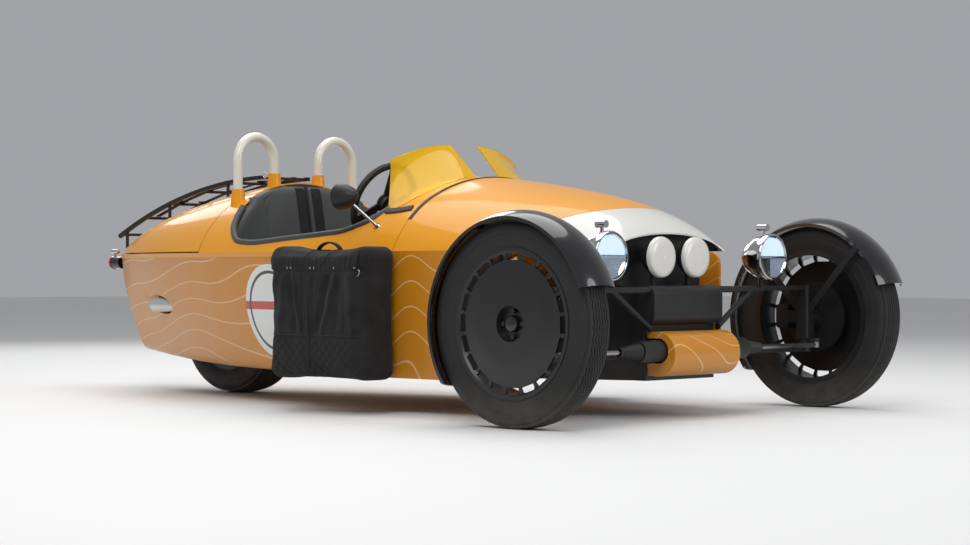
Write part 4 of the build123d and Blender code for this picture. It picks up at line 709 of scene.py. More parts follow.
def makeScreens():
    shells = [surfaceOf(cadNodes["cockpit_surround"]), surfaceOf(cadNodes["bonnet"])]
    sheets = []
    columns, rows = screen["columns"], screen["rows"]
    for side in (-1, 1):
        grid = [
            [screenPoint(c / columns, r / rows, side, shells) for c in range(columns + 1)]
            for r in range(rows + 1)
        ]
        front, back = [], []
        for r in range(rows + 1):
            for c in range(columns + 1):
                acrossWay = grid[r][min(c + 1, columns)] - grid[r][max(c - 1, 0)]
                upWay = grid[min(r + 1, rows)][c] - grid[max(r - 1, 0)][c]
                facing = acrossWay.cross(upWay).normalized() * (side * screen["thick"] / 2)
                front.append(grid[r][c] + facing)
                back.append(grid[r][c] - facing)
        sheets.append(closedSheet(front, back, columns, rows))
    shapePiece("aero_screen_sheets", sheets, "amberScreen", "chassis", ["aero_screens"], 40)


makeScreens()

# Headlamps: bright bowls on black arms; profiles as (distance ahead of x, radius)
headlamp = {
    "x": 1.502, "y": 0.460, "z": 0.570, "reach": 0.0885, "glass": 0.0775, "dome": 0.0135, "domeFoot": 0.0036,
    # The glow sizes place the emitting half disc, painted light in place of the reflection in the bowl
    "glowBack": 0.0006, "glowThick": 0.0012, "glowUp": 0.004, "glowWide": 0.070, "glowHigh": 0.066,
    "barAhead": 0.0008, "bar": (0.0030, 0.150, 0.0085), "barRounding": 0.001,
    "bowl": ((-0.0085, 0.0), (-0.0080, 0.020), (-0.0055, 0.048), (-0.0020, 0.068), (0.0, 0.0765)),
    "rim": ((-0.004, 0.0790), (0.0035, 0.0775), (0.0075, 0.0795), (0.0070, 0.0835), (0.0020, 0.0862),
            (-0.010, 0.0868)),
}


def inBowl(face):
    point = face.calc_center_median()
    return math.hypot(abs(point.y) - headlamp["y"], point.z - headlamp["z"]) < headlamp["reach"]


splitSkin("headlamps", inBowl, (
    ("headlamp_bowls", "chrome", "chrome_trim", 40, True),
    ("headlamp_arms", "satinBlack", "satin_black", 30, False),
))
print("shells, screens and headlamps made")

# Tyres: sizes in metres; grooves run round the tread in waves
frontTread = {
    "widest": 0.296, "treadHalf": 0.045, "drop": 0.004, "grooves": 6, "waves": 64,
    "swing": 0.0032, "slit": 0.0034, "depth": 0.0045,
}
rearTread = {
    "widest": 0.250, "treadHalf": 0.074, "drop": 0.008, "grooves": 8, "waves": 56,
    "swing": 0.0040, "slit": 0.0044, "depth": 0.0055,
}
tyres = {"tyre_front_right": frontTread, "tyre_front_left": frontTread, "tyre_rear": rearTread}
stepsPerWave = 6


# Half a section from bead to shoulder as (width, radius): lip, guard rib, sidewall, raised ring, shoulder
def tyreSide(row, bead, beadHalf, half, shoulder):
    tread, widest = row["treadHalf"], row["widest"]
    side = [(beadHalf - 0.004, bead), (beadHalf, bead + 0.004), (beadHalf + 0.004, bead + 0.013)]
    side += [(beadHalf + 0.0035, bead + 0.016), (beadHalf + 0.007, bead + 0.024)]
    for share in np.linspace(0.2, 1.0, 7):
        bulge = (half - 0.0005 - beadHalf - 0.006) * math.sin(share * math.pi / 2)
        side.append((beadHalf + 0.006 + bulge, bead + 0.022 + (widest - bead - 0.022) * share))
    side += [(half - 0.0016, widest + 0.003), (half - 0.0004, widest + 0.006)]
    for share in np.linspace(0.15, 1.0, 9):
        turn = share * math.pi / 2
        width = tread + 0.004 + (half - 0.001 - tread - 0.004) * math.cos(turn) ** 0.8
        side.append((width, widest + 0.008 + (shoulder - widest - 0.008) * math.sin(turn) ** 1.15))
    return side


# The crown as (place across, share of the groove's depth)
def tyreCrown(row):
    tread, edge = row["treadHalf"], row["slit"] / 2
    pitch = 2 * tread / (row["grooves"] + 1)
    lip = [(edge + 0.0012, 0.0), (edge, 0.2), (edge * 0.7, 1.0)]
    crown = [(tread + 0.002, 0.0), (tread - 0.0015, 0.0)]
    for index in range(row["grooves"]):
        spot = tread - pitch * (index + 1)
        crown += [(spot + off, mark) for off, mark in lip]
        crown += [(spot - off, mark) for off, mark in reversed(lip)]
    return crown + [(-tread + 0.0015, 0.0), (-tread - 0.002, 0.0)]


def makeTyre(node, row):
    low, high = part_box(node)
    centre, outer, half = (low + high) / 2, (high.x - low.x) / 2, (high.y - low.y) / 2
    cad = np.array([v.co for v in cadNodes[node].data.vertices]) - np.array(centre)
    reach = np.hypot(cad[:, 0], cad[:, 2])
    bead = reach.min()
    beadHalf = np.abs(cad[reach < bead + 0.002, 1]).max()
    side = tyreSide(row, bead, beadHalf, half, outer - row["drop"] - 0.010)
    profile = [(w, r, 0.0) for w, r in side]
    for place, mark in tyreCrown(row):
        rise = outer - row["drop"] * min(1.0, abs(place) / row["treadHalf"]) ** 2.4
        swing = row["swing"] * (abs(place) < row["treadHalf"] - 0.001)
        profile.append((place, rise - mark * row["depth"], swing))
    profile += [(-w, r, 0.0) for w, r in reversed(side)]
    width, radius, swing = np.array(profile).T
    steps, count = row["waves"] * stepsPerWave, len(profile)
    turns = (np.arange(steps) * math.tau / steps)[:, None]
    across = width + np.sin(turns * row["waves"]) * swing
    points = np.stack(
        [centre.x + radius * np.cos(turns), centre.y + across, centre.z + radius * np.sin(turns)], axis=-1
    ).reshape(-1, 3)
    first = np.arange(steps)[:, None] * count
    after = np.roll(first, -1, axis=0)
    column = np.arange(count)
    beside = (column + 1) % count
    quads = np.stack([first + column, first + beside, after + beside, after + column], axis=-1).reshape(-1, 4)
    shape = (points.tolist(), quads.tolist())
    shapePiece(node + "_treaded", [shape], "tyre", bodyOfNode[node], [node], 38)


for node, row in tyres.items():
    makeTyre(node, row)
print("tyres made:", len(tyres))

# Soft pieces: a CAD copy is drawn in, remeshed, blown up as cloth and held near its start
fabric = {
    "quality": 5, "mass": 0.3, "tension_stiffness": 12.0, "compression_stiffness": 12.0,
    "bending_stiffness": 0.6, "use_pressure": True,
}
clothFrames = 20


def softMesh(name, node, keep, row):
    build = bmesh.new()
    build.from_mesh(cadNodes[node].data)
    bmesh.ops.remove_doubles(build, verts=build.verts, dist=2e-5)
    gone = [f for f in build.faces if not keep(f)]
    bmesh.ops.delete(build, geom=gone, context="FACES")
    places = np.array([v.co for v in build.verts])
    middle, spread = (places.min(0) + places.max(0)) / 2, (places.max(0) - places.min(0)) / 2
    shrink = (spread - np.array(row["inset"])) / spread
    for vertex in build.verts:
        vertex.co = Vector(middle + (np.array(vertex.co) - middle) * shrink)
    piece = builtPiece(name, build)
    remesh = piece.modifiers.new("even", "REMESH")
    remesh.mode, remesh.voxel_size = "VOXEL", row["voxel"]
    evened = evaluatedMesh(piece)
    piece.modifiers.clear()
    piece.data = evened
    start = np.array([v.co for v in evened.vertices])
    cloth = piece.modifiers.new("fill", "CLOTH")
    for key, value in {**fabric, "uniform_pressure_force": row["pressure"]}.items():
        setattr(cloth.settings, key, value)
    cloth.settings.effector_weights.gravity = 0.0
    cloth.collision_settings.use_collision = False
    for step in range(1, clothFrames + 1):
        bpy.context.scene.frame_set(step)
    blown = evaluatedMesh(piece)
    piece.modifiers.clear()
    bpy.context.scene.frame_set(1)
    move = np.array([v.co for v in blown.vertices]) - start
    size = np.linalg.norm(move, axis=1)
    end = start + move * (np.minimum(size, row["cap"]) / np.maximum(size, 1e-9))[:, None]
    blown.vertices.foreach_set("co", end.astype(np.float32).ravel())
    piece.data = blown
    finer = piece.modifiers.new("finer", "SUBSURF")
    finer.levels = finer.render_levels = 1
    smooth = evaluatedMesh(piece)
    piece.modifiers.clear()
    piece.data = smooth
    return piece


def readMesh(mesh):
    places = np.zeros(len(mesh.vertices) * 3)
    normals = np.zeros(len(mesh.vertices) * 3)
    mesh.vertices.foreach_get("co", places)
    mesh.vertex_normals.foreach_get("vector", normals)
    return places.reshape(-1, 3), normals.reshape(-1, 3)


def writeMesh(mesh, places):
    mesh.vertices.foreach_set("co", places.astype(np.float32).ravel())
    mesh.update()
    mesh.shade_smooth()


def ridge(values, place, width):
    return np.exp(-(((values - place) / width) ** 2))


def ramp(values, length):
    return np.clip(values / length, 0, 1)


# Side bags: canvas with a gathered closing band, pocket seams, hanging folds and a quilted foot.
# A fold is (place, width, lean, depth), and the relief is in metres
bag = {
    "voxel": 0.0085, "inset": (0.012, 0.016, 0.012), "pressure": 6.0, "cap": 0.020,
    "rear": 0.052, "front": 0.016, "sink": 0.006, "outer": -0.010, "inner": -0.5828,
    "bandLow": 0.523, "bandHigh": 0.575, "quiltTop": 0.278, "quiltStep": 0.040,
    "seams": (0.300, 0.360, 0.520), "gather": 0.017, "foldUp": 0.4,
    "folds": (
        (0.185, 0.020, 0.12, 0.0060), (0.245, 0.012, -0.10, -0.0050), (0.268, 0.010, -0.22, 0.0050),
        (0.335, 0.014, 0.05, 0.0040), (0.405, 0.016, 0.30, -0.0055), (0.440, 0.014, 0.34, 0.0060),
        (0.485, 0.020, 0.15, -0.0045), (0.555, 0.020, -0.08, 0.0050),
    ),
}
relief = {
    "band": 0.0035, "slack": 0.0030, "seam": -0.0030, "quilt": 0.0042, "quiltSink": 0.002,
    "footHem": -0.0035, "bandHem": 0.0030, "sag": 0.010, "foldShare": 1.6, "slackShare": 1.4,
}


def makeBag():
    low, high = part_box("panniers")
    piece = softMesh("pannier_right", "panniers", lambda face: face.calc_center_median().y < 0, bag)
    places, normals = readMesh(piece.data)
    least = np.array([low.x - bag["rear"], low.y + bag["outer"], low.z - bag["sink"]])
    most = np.array([high.x + bag["front"], bag["inner"], high.z])
    share = (places - places.min(0)) / (places.max(0) - places.min(0))
    places = least + share * (most - least)
    x, z = places[:, 0], places[:, 2]
    face = ramp(-normals[:, 1] - 0.35, 0.4)
    front = ramp(normals[:, 0] - 0.5, 0.4)
    band = 1 / (1 + np.exp(-(z - bag["bandLow"]) / 0.0022)) * 1 / (1 + np.exp((z - bag["bandHigh"]) / 0.003))
    gathers = 1 + 0.6 * np.sin(x / bag["gather"] * math.tau + 3 * np.sin(x * 40))
    swell = relief["band"] * band * gathers
    below = ramp(bag["bandLow"] - z, 0.03) * ramp(z - bag["quiltTop"], 0.03)
    folds = sum(
        deep * ridge(x - lean * (z - bag["foldUp"]), place, wide) for place, wide, lean, deep in bag["folds"]
    )
    slack = relief["slack"] * np.sin(x * 37 + z * 21) * np.sin(z * 33 - x * 11)
    seams = sum(relief["seam"] * ridge(x, place, 0.0035) for place in bag["seams"])
    foot = ramp(bag["quiltTop"] - z, 0.012)
    first, second = (x + z) / bag["quiltStep"] * math.pi, (x - z) / bag["quiltStep"] * math.pi
    quilt = relief["quilt"] * (np.abs(np.sin(first)) * np.abs(np.sin(second))) ** 0.5 - relief["quiltSink"]
    hem = relief["footHem"] * ridge(z, bag["quiltTop"], 0.004)
    hem = hem - relief["bandHem"] * ridge(z, bag["bandLow"] - 0.004, 0.004)
    hang = below * (relief["foldShare"] * folds + relief["slackShare"] * slack)
    out = face * (swell + hang + below * seams + foot * quilt + hem)
    out = out + front * (slack + foot * 0.5 * quilt)
    along = ramp(x - low.x, high.x - low.x)
    sag = relief["sag"] * ramp(z - bag["bandHigh"], 0.03) * np.sin(along * math.pi)
    places = places + normals * out[:, None]
    places[:, 2] -= sag
    places[:, 0] = np.clip(places[:, 0], least[0], most[0])
    places[:, 1] = np.clip(places[:, 1], least[1] + bag["outer"], bag["inner"])
    places[:, 2] = np.clip(places[:, 2], least[2], high.z + 0.002)
    writeMesh(piece.data, places)
    settle(piece, "canvas", "chassis", ["panniers"])
    other = piece.data.copy()
    writeMesh(other, places * np.array([1, -1, 1]))
    other.flip_normals()
    twin = settle(linkPiece("pannier_left", other), "canvas", "chassis", ["panniers"])


makeBag()
print("bags made")

# Seat cushions: leather pads with stitched flutes
seat = {
    "voxel": 0.011, "inset": (0.007, 0.007, 0.010), "pressure": 3.5, "cap": 0.014,
    "flute": 0.052, "deep": 0.0045, "middle": 0.250, "fluteHalf": 0.130, "lapHalf": 0.150,
}


def makeSeats():
    low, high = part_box("seat_cushions")
    for label, side in sides:
        piece = softMesh(
            "seat_cushions_" + label, "seat_cushions",
            lambda face: face.calc_center_median().y * side > 0, seat,
        )
        places, normals = readMesh(piece.data)
        off = places[:, 1] - side * seat["middle"]
        middle = ramp(seat["fluteHalf"] - np.abs(off), 0.008)
        facing = np.clip(normals[:, 2] * 2 - 0.8, 0, 1)
        flutes = np.abs(np.sin(off / seat["flute"] * math.pi)) ** 0.5 - 1
        rim = -ridge(np.abs(off), seat["fluteHalf"], 0.005)
        places = places + normals * (facing * seat["deep"] * (middle * flutes + rim))[:, None]
        places[:, 0] = np.clip(places[:, 0], low.x, high.x)
        places[:, 2] = np.clip(places[:, 2], low.z, high.z)
        writeMesh(piece.data, places)
        settle(piece, "seat", "chassis", ["seat_cushions"])


makeSeats()

# Seat backs: smooth padded forms that fill the rear of the opening and wrap forward at the body side
backrest = {
    "low": 0.235, "high": 0.868, "lowBack": 1.868, "highBack": 1.985, "inner": 0.010, "thick": 0.045,
    "half": 0.490, "belt": 0.592, "arch": 0.283, "wrap": 0.085, "wrapFrom": 0.55, "puff": 0.020,
    "seam": 0.245, "seamSize": 0.006, "rayFrom": 0.30, "widest": 0.60, "gap": 0.014,
    "columns": 40, "rows": 34,
}


def wallReach(shells, x, side, z):
    hits = [s.ray_cast(Vector((x, side * backrest["rayFrom"], z)), Vector((0, side, 0)))[0] for s in shells]
    return min([backrest["widest"]] + [abs(h.y) for h in hits if h])


def makeBacks():
    shells = [surfaceOf(cadNodes["tub"]), surfaceOf(cadNodes["cockpit_surround"])]
    columns, rows = backrest["columns"], backrest["rows"]
    for label, side in sides:
        front, back = [], []
        for row in range(rows + 1):
            share = row / rows
            z = between(backrest["low"], backrest["high"], share)
            x = behind(between(backrest["lowBack"], backrest["highBack"], share))
            rise = max(0.0, z - backrest["belt"]) / backrest["arch"]
            arched = backrest["half"] * math.sqrt(max(0.03, 1 - rise * rise))
            reach = min(wallReach(shells, x, side, z) - backrest["gap"], arched)
            for column in range(columns + 1):
                along = column / columns
                y = between(backrest["inner"], reach, along)
                fullness = (1 - (2 * along - 1) ** 8) ** 0.5 * (1 - (2 * share - 1) ** 10) ** 0.5
                swell = backrest["puff"] * fullness * (0.55 + 0.45 * math.sin(along * math.pi) ** 2)
                flank = max(0.0, (along - backrest["wrapFrom"]) / (1 - backrest["wrapFrom"]))
                swell += backrest["wrap"] * flank * flank * (1 - share) ** 0.6 * fullness
                swell -= backrest["seamSize"] * ridge(y, backrest["seam"], backrest["seamSize"]) * fullness
                front.append(Vector((x + swell, side * y, z)))
                back.append(Vector((x - backrest["thick"] * 0.5, side * y, z)))
        sheet = closedSheet(front, back, columns, rows)
        piece = shapePiece("seat_backs_" + label, [sheet], "seat", "chassis", ["seat_backs"], 70)


makeBacks()
print("seats made")


# Repeats by Geometry Nodes: a ring of bolts, and beads set along a line
def nodeTree(name, inputs):
    tree = bpy.data.node_groups.new(name, "GeometryNodeTree")
    tree.interface.new_socket("Geometry", in_out="OUTPUT", socket_type="NodeSocketGeometry")
    tree.interface.new_socket("Geometry", in_out="INPUT", socket_type="NodeSocketGeometry")
    for label, kind in (*inputs, ("Material", "NodeSocketMaterial")):
        tree.interface.new_socket(label, in_out="INPUT", socket_type=kind)
    return tree, tree.nodes.new("NodeGroupInput").outputs, tree.nodes.new("NodeGroupOutput").inputs


def closeTree(tree, given, out, instances):
    real = addNode(tree, "GeometryNodeRealizeInstances", None, {0: instances})
    inputs = {"Geometry": real.outputs[0], "Material": given["Material"]}
    tree.links.new(addNode(tree, "GeometryNodeSetMaterial", None, inputs).outputs[0], out[0])
    return tree


def makeBoltRing():
    kinds = [("Count", "NodeSocketInt"), ("Ring", floatKind), ("Bolt", floatKind), ("Height", floatKind)]
    tree, given, out = nodeTree("boltRing", kinds)
    circle = {"Vertices": given["Count"], "Radius": given["Ring"]}
    ring = addNode(tree, "GeometryNodeMeshCircle", None, circle)
    nut = {"Vertices": 6, "Radius": given["Bolt"], "Depth": given["Height"]}
    bolt = addNode(tree, "GeometryNodeMeshCylinder", None, nut)
    inputs = {"Points": ring.outputs[0], "Instance": bolt.outputs["Mesh"]}
    spread = addNode(tree, "GeometryNodeInstanceOnPoints", None, inputs)
    return closeTree(tree, given, out, spread.outputs[0])


def makeBeadRow():
    tree, given, out = nodeTree("beadRow", [("Spacing", floatKind), ("Size", vectorKind)])
    line = addNode(tree, "GeometryNodeMeshToCurve", None, {"Mesh": given["Geometry"]})
    pace = {"Curve": line.outputs[0], "Length": given["Spacing"]}
    even = addNode(tree, "GeometryNodeResampleCurve", {"mode": "LENGTH"}, pace)
    bead = addNode(tree, "GeometryNodeMeshUVSphere", None, {"Segments": 8, "Rings": 6, "Radius": 0.5})
    along = addNode(tree, "GeometryNodeInputTangent").outputs[0]
    facing = addNode(tree, "FunctionNodeAlignRotationToVector", {"axis": "X"}, {"Vector": along})
    spread = addNode(tree, "GeometryNodeInstanceOnPoints", None, {
        "Points": even.outputs[0], "Instance": bead.outputs["Mesh"],
        "Rotation": facing.outputs[0], "Scale": given["Size"],
    })
    return closeTree(tree, given, out, spread.outputs[0])


repeats = {"boltRing": makeBoltRing(), "beadRow": makeBeadRow()}


def repeatShape(key, values, line=(), matrix=None):
    base = bpy.data.meshes.new("repeatBase")
    base.from_pydata([tuple(p) for p in line], [(i, i + 1) for i in range(len(line) - 1)], [])
    carrier = linkPiece("repeatBase", base)
    modifier = carrier.modifiers.new("repeat", "NODES")
    tree = repeats[key]
    names = {item.name: item.identifier for item in tree.interface.items_tree if item.in_out == "INPUT"}
    modifier.node_group = tree
    for label, value in {"Material": finish["satinBlack"], **values}.items():
        modifier[names[label]] = value
    made = evaluatedMesh(carrier)
    bpy.data.objects.remove(carrier)
    if matrix:
        made.transform(matrix)
    vertices = [v.co.copy() for v in made.vertices]
    faces = [tuple(p.vertices) for p in made.polygons]
    bpy.data.meshes.remove(made)
    return vertices, faces


# A flat half disc that glows in a headlamp: painted light in place of the bright reflection in its upper half
def halfDisc(x, y, z):
    front = [Vector((x, y, z))]
    for turn in np.linspace(0, math.pi, 25):
        rise = headlamp["glowHigh"] * math.sin(turn)
        front.append(Vector((x, y + headlamp["glowWide"] * math.cos(turn), z + rise)))
    back = [v - Vector((headlamp["glowThick"], 0, 0)) for v in front]
    count = len(front)
    loop = list(range(count))
    faces = [tuple(loop), tuple(i + count for i in reversed(loop))]
    faces += [(i, i + count, (i + 1) % count + count, (i + 1) % count) for i in loop]
    return front + back, faces


# Headlamp faces: reflector, a glowing upper half that is a painted reflection, cross bar, clear dome and
# bright rim
def makeLampFaces():
    parts = {"mirror": [], "glow": [], "chrome": [], "lens": []}
    x, z, ahead = headlamp["x"], headlamp["z"], (1, 0, 0)
    foot = headlamp["domeFoot"]
    dome = [(foot, 0.0), (foot, headlamp["glass"])]
    for step in range(1, 9):
        turn = math.pi / 2 * step / 8
        dome.append((between(foot, headlamp["dome"], math.sin(turn)), headlamp["glass"] * math.cos(turn)))
    for side in (-1, 1):
        y = side * headlamp["y"]
        parts["mirror"].append(latheShape(headlamp["bowl"], (x, y, z), ahead))
        parts["glow"].append(halfDisc(x - headlamp["glowBack"], y, z + headlamp["glowUp"]))
        barAt = (x + headlamp["barAhead"], y, z)
        parts["chrome"].append(blockShape(barAt, headlamp["bar"], headlamp["barRounding"]))
        parts["chrome"].append(latheShape(headlamp["rim"], (x, y, z), ahead, 64))
        parts["lens"].append(latheShape(dome, (x, y, z), ahead))
    shapePiece("headlamp_reflectors", parts["mirror"], "mirror", "chassis")
    shapePiece("headlamp_painted_glow", parts["glow"], "glow", "chassis")
    shapePiece("headlamp_rims", parts["chrome"], "chrome", "chassis")
    shapePiece("headlamp_domes", parts["lens"], "lens", "chassis", ["headlamp_lenses"], 50)


makeLampFaces()

# Wheel centres: four nuts and a cap over the spindle end, its profile as (distance out, radius)
hub = {
    "floor": 0.030, "ring": 0.0420, "nut": 0.0088, "height": 0.014, "count": 4,
    "cap": ((0.0305, 0.0230), (0.0305, 0.0290), (0.0440, 0.0275), (0.0500, 0.0235), (0.0515, 0.0160),
            (0.0515, 0.0), (0.0480, 0.0), (0.0480, 0.0230), (0.0305, 0.0230)),
}


def makeHubs():
    values = {"Count": hub["count"], "Ring": hub["ring"], "Bolt": hub["nut"], "Height": hub["height"]}
    for label, side in sides:
        low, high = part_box("tyre_front_" + label)
        centre = (low + high) / 2
        turn = Vector((0, 0, 1)).rotation_difference(Vector((0, side, 0))).to_matrix().to_4x4()
        place = Matrix.Translation(centre + Vector((0, side * (hub["floor"] + hub["height"] / 2), 0))) @ turn
        nuts = repeatShape("boltRing", values, matrix=place)
        cap = latheShape(hub["cap"], centre, (0, side, 0), 40)
        body = "wheel_front_" + label
        shapePiece("wheel_nuts_" + label, [nuts], "satinBlack", body, limit=30)
        shapePiece("wheel_cap_" + label, [cap], "glossBlack", body)


makeHubs()
print("lamps and hubs made")

# Cockpit edge: a padded roll that follows the cut in the body; stations in millimetres behind the axle
roll = {
    "from": 1010.0, "to": 1990.0, "step": 14.0, "radius": 0.0125, "inside": 0.004,
    "low": 0.600, "high": 0.915, "rise": 0.003, "least": 0.12,
}


def cockpitEdge(side):
    surround = surfaceOf(cadNodes["cockpit_surround"])
    points = []
    for station in np.arange(roll["from"], roll["to"], roll["step"]) / 1000:
        last = None
        for height in np.arange(roll["low"], roll["high"], roll["rise"]):
            hit = hitSide(surround, behind(station), side, height)[0]
            if hit is None or hit.y * side < roll["least"]:
                break
            last = hit
        if last:
            points.append(Vector((last.x, last.y - side * roll["inside"], last.z)))
    spans = [points[max(0, index - 2):index + 3] for index in range(len(points))]
    return [sum(span, Vector()) / len(span) for span in spans]


for label, side in sides:
    padding = tubeShape(cockpitEdge(side), roll["radius"], 14)
    piece = shapePiece("cockpit_roll_" + label, [padding], "seat", "chassis", limit=60)
print("cockpit roll made")

# Bag fittings: snap studs in pairs, handle between two loops, corner ring, pocket strap, stitches.
# A band is (half width, half thickness), a span runs from the first number to the second
fittings = {
    "studs": (0.120, 0.222, 0.242, 0.345, 0.365, 0.470, 0.572), "studUp": 0.531,
    "stud": ((-0.001, 0.0), (-0.001, 0.0042), (0.0014, 0.0040), (0.0024, 0.0024), (0.0026, 0.0)),
    "loops": (0.300, 0.415), "loopSpan": (0.545, 0.585), "loopTop": (-0.735, -0.640),
    "loopBand": (0.012, 0.0014),
    "handleY": -0.700, "handleLift": 0.004, "handleRise": 0.026, "handleBand": (0.0105, 0.0030),
    "strapX": 0.330, "strapSpan": (0.165, 0.515), "strapLift": 0.0012, "strapBand": (0.011, 0.0011),
    "ringX": 0.575, "ringUp": 0.514, "ringLift": 0.003, "ring": 0.013, "wire": 0.0022,
    "tabSpan": (0.520, 0.588), "tabBand": (0.009, 0.0014), "webLift": 0.0015,
    "stitchRows": (0.512, 0.286), "stitchSpan": (0.100, 0.590), "stitchLift": 0.0004,
    "stitch": {"Spacing": 0.0085, "Size": (0.0056, 0.0017, 0.0017)},
    "outside": -0.765, "top": 0.60,
}


def makeFittings():
    skin = surfaceOf(bpy.data.objects["pannier_right"])
    outward, lift = (0, -1, 0), fittings["webLift"]

    def outerAt(x, z, off):
        hit = skin.ray_cast(Vector((x, -1.2, z)), Vector((0, 1, 0)))[0]
        return Vector((x, (hit.y if hit else fittings["outside"]) - off, z))

    def topAt(x, y, off):
        hit = hitDown(skin, x, y, 1.0)
        return Vector((x, y, (hit.z if hit else fittings["top"]) + off))

    def upright(x, span, count, off):
        return [outerAt(x, z, off) for z in np.linspace(*span, count)]

    studs, webs, stitches = [], [], []
    for x in fittings["studs"]:
        spot = outerAt(x, fittings["studUp"], 0.0)
        studs += sideCopies(latheShape(fittings["stud"], spot, outward, 16))
    for x in fittings["loops"]:
        line = upright(x, fittings["loopSpan"], 5, lift)
        line += [topAt(x, y, lift) for y in np.linspace(*fittings["loopTop"], 6)]
        webs += sideCopies(bandShape(line, fittings["loopBand"], (0, -0.7, 0.7)))
    arch = []
    for share in np.linspace(0, 1, 17):
        base = topAt(between(*fittings["loops"], share), fittings["handleY"], fittings["handleLift"])
        rise = fittings["handleRise"] * math.sin(share * math.pi) ** 0.7
        arch.append(base + Vector((0, 0, rise)))
    webs += sideCopies(bandShape(arch, fittings["handleBand"]))
    strap = upright(fittings["strapX"], fittings["strapSpan"], 22, fittings["strapLift"])
    webs += sideCopies(bandShape(strap, fittings["strapBand"], outward))
    tab = upright(fittings["ringX"], fittings["tabSpan"], 6, lift)
    webs += sideCopies(bandShape(tab, fittings["tabBand"], outward))
    centre = outerAt(fittings["ringX"], fittings["ringUp"], fittings["ringLift"])
    rings = sideCopies(wireRing(centre, fittings["ring"], fittings["wire"]))
    for z in fittings["stitchRows"]:
        row = [outerAt(x, z, fittings["stitchLift"]) for x in np.linspace(*fittings["stitchSpan"], 80)]
        stitches += sideCopies(repeatShape("beadRow", fittings["stitch"], row))
    shapePiece("bag_stitches", stitches, "thread", "chassis", limit=60)
    shapePiece("bag_studs", studs, "metal", "chassis")
    shapePiece("bag_webbing", webs, "webbing", "chassis", limit=60)
    shapePiece("bag_rings", rings, "metal", "chassis", limit=60)


makeFittings()
print("bag fittings made")

# Mirrors: black heads on bright stems
mirror = {"x": 0.340, "y": 0.610, "z": 0.795, "reach": 0.082}


def inHead(face):
    point = face.calc_center_median()
    off = Vector((point.x - mirror["x"], abs(point.y) - mirror["y"], point.z - mirror["z"]))
    return off.length < mirror["reach"]


splitSkin("mirrors", inHead, (
    ("mirror_heads", "satinBlack", "satin_black", 40, True),
    ("mirror_stems", "chrome", "chrome_trim", 40, False),
))

# Steering: ridged rubber boots where the track rods leave the rack
boots = {
    "x": behind(-0.050), "z": 0.240, "from": 0.301, "to": 0.395, "wide": 0.030, "slim": 0.0165,
    "bore": 0.0125, "ribs": 7, "groove": 0.0045, "collar": 0.006,
}


def makeBoots():
    steps, end = boots["ribs"] * 2, boots["to"] + boots["collar"]
    profile = [(boots["from"], boots["bore"])]
    for step in range(steps + 1):
        share = step / steps
        radius = between(boots["wide"], boots["slim"], share) - (boots["groove"] if step % 2 else 0.0)
        profile.append((between(boots["from"], boots["to"], share), radius))
    profile += [(end, boots["slim"]), (end, boots["bore"]), (boots["from"], boots["bore"])]
    origin = (boots["x"], 0, boots["z"])
    shapes = [latheShape(profile, origin, (0, side, 0), 32) for side in (-1, 1)]
    shapePiece("rack_boots", shapes, "rubber", "chassis", limit=50)


makeBoots()

# Harness: a shoulder strap down the inboard side of each seat back and a lap strap across each cushion
harness = {
    "inboard": 0.045, "band": (0.024, 0.0014), "low": 0.345, "high": 0.862, "lift": 0.0040,
    "lapBack": 1.740, "lapLift": 0.0028,
}


def makeHarness():
    bands = []
    for label, side in sides:
        back = surfaceOf(bpy.data.objects["seat_backs_" + label])
        pad = surfaceOf(bpy.data.objects["seat_cushions_" + label])
        line, lap = [], []
        for z in np.linspace(harness["high"], harness["low"], 24):
            hit = back.ray_cast(Vector((1.0, side * harness["inboard"], z)), Vector((-1, 0, 0)))[0]
            if hit:
                line.append(hit + Vector((harness["lift"], 0, 0)))
        bands.append(bandShape(line, harness["band"], (1, 0, 0)))
        middle = side * seat["middle"]
        for y in np.linspace(middle - seat["lapHalf"], middle + seat["lapHalf"], 15):
            hit = hitDown(pad, behind(harness["lapBack"]), y, 1.0)
            if hit:
                lap.append(hit + Vector((0, 0, harness["lapLift"])))
        bands.append(bandShape(lap, harness["band"]))
    shapePiece("harness_straps", bands, "webbing", "chassis", limit=60)


makeHarness()

# Gauges: bright bezel, dark face, plain ticks and a needle
gauge = {
    "y": 0.052, "z": 0.790, "radius": 0.040, "ticks": 11, "sweep": (-225.0, 45.0),
    "tick": (0.0006, 0.007, 0.0014), "tickAt": 0.029, "tickAhead": 0.0014,
    "needle": (0.0006, 0.030, 0.0016), "needleAt": (-0.0020, 0.010, 0.006), "needleTurn": -0.55,
}


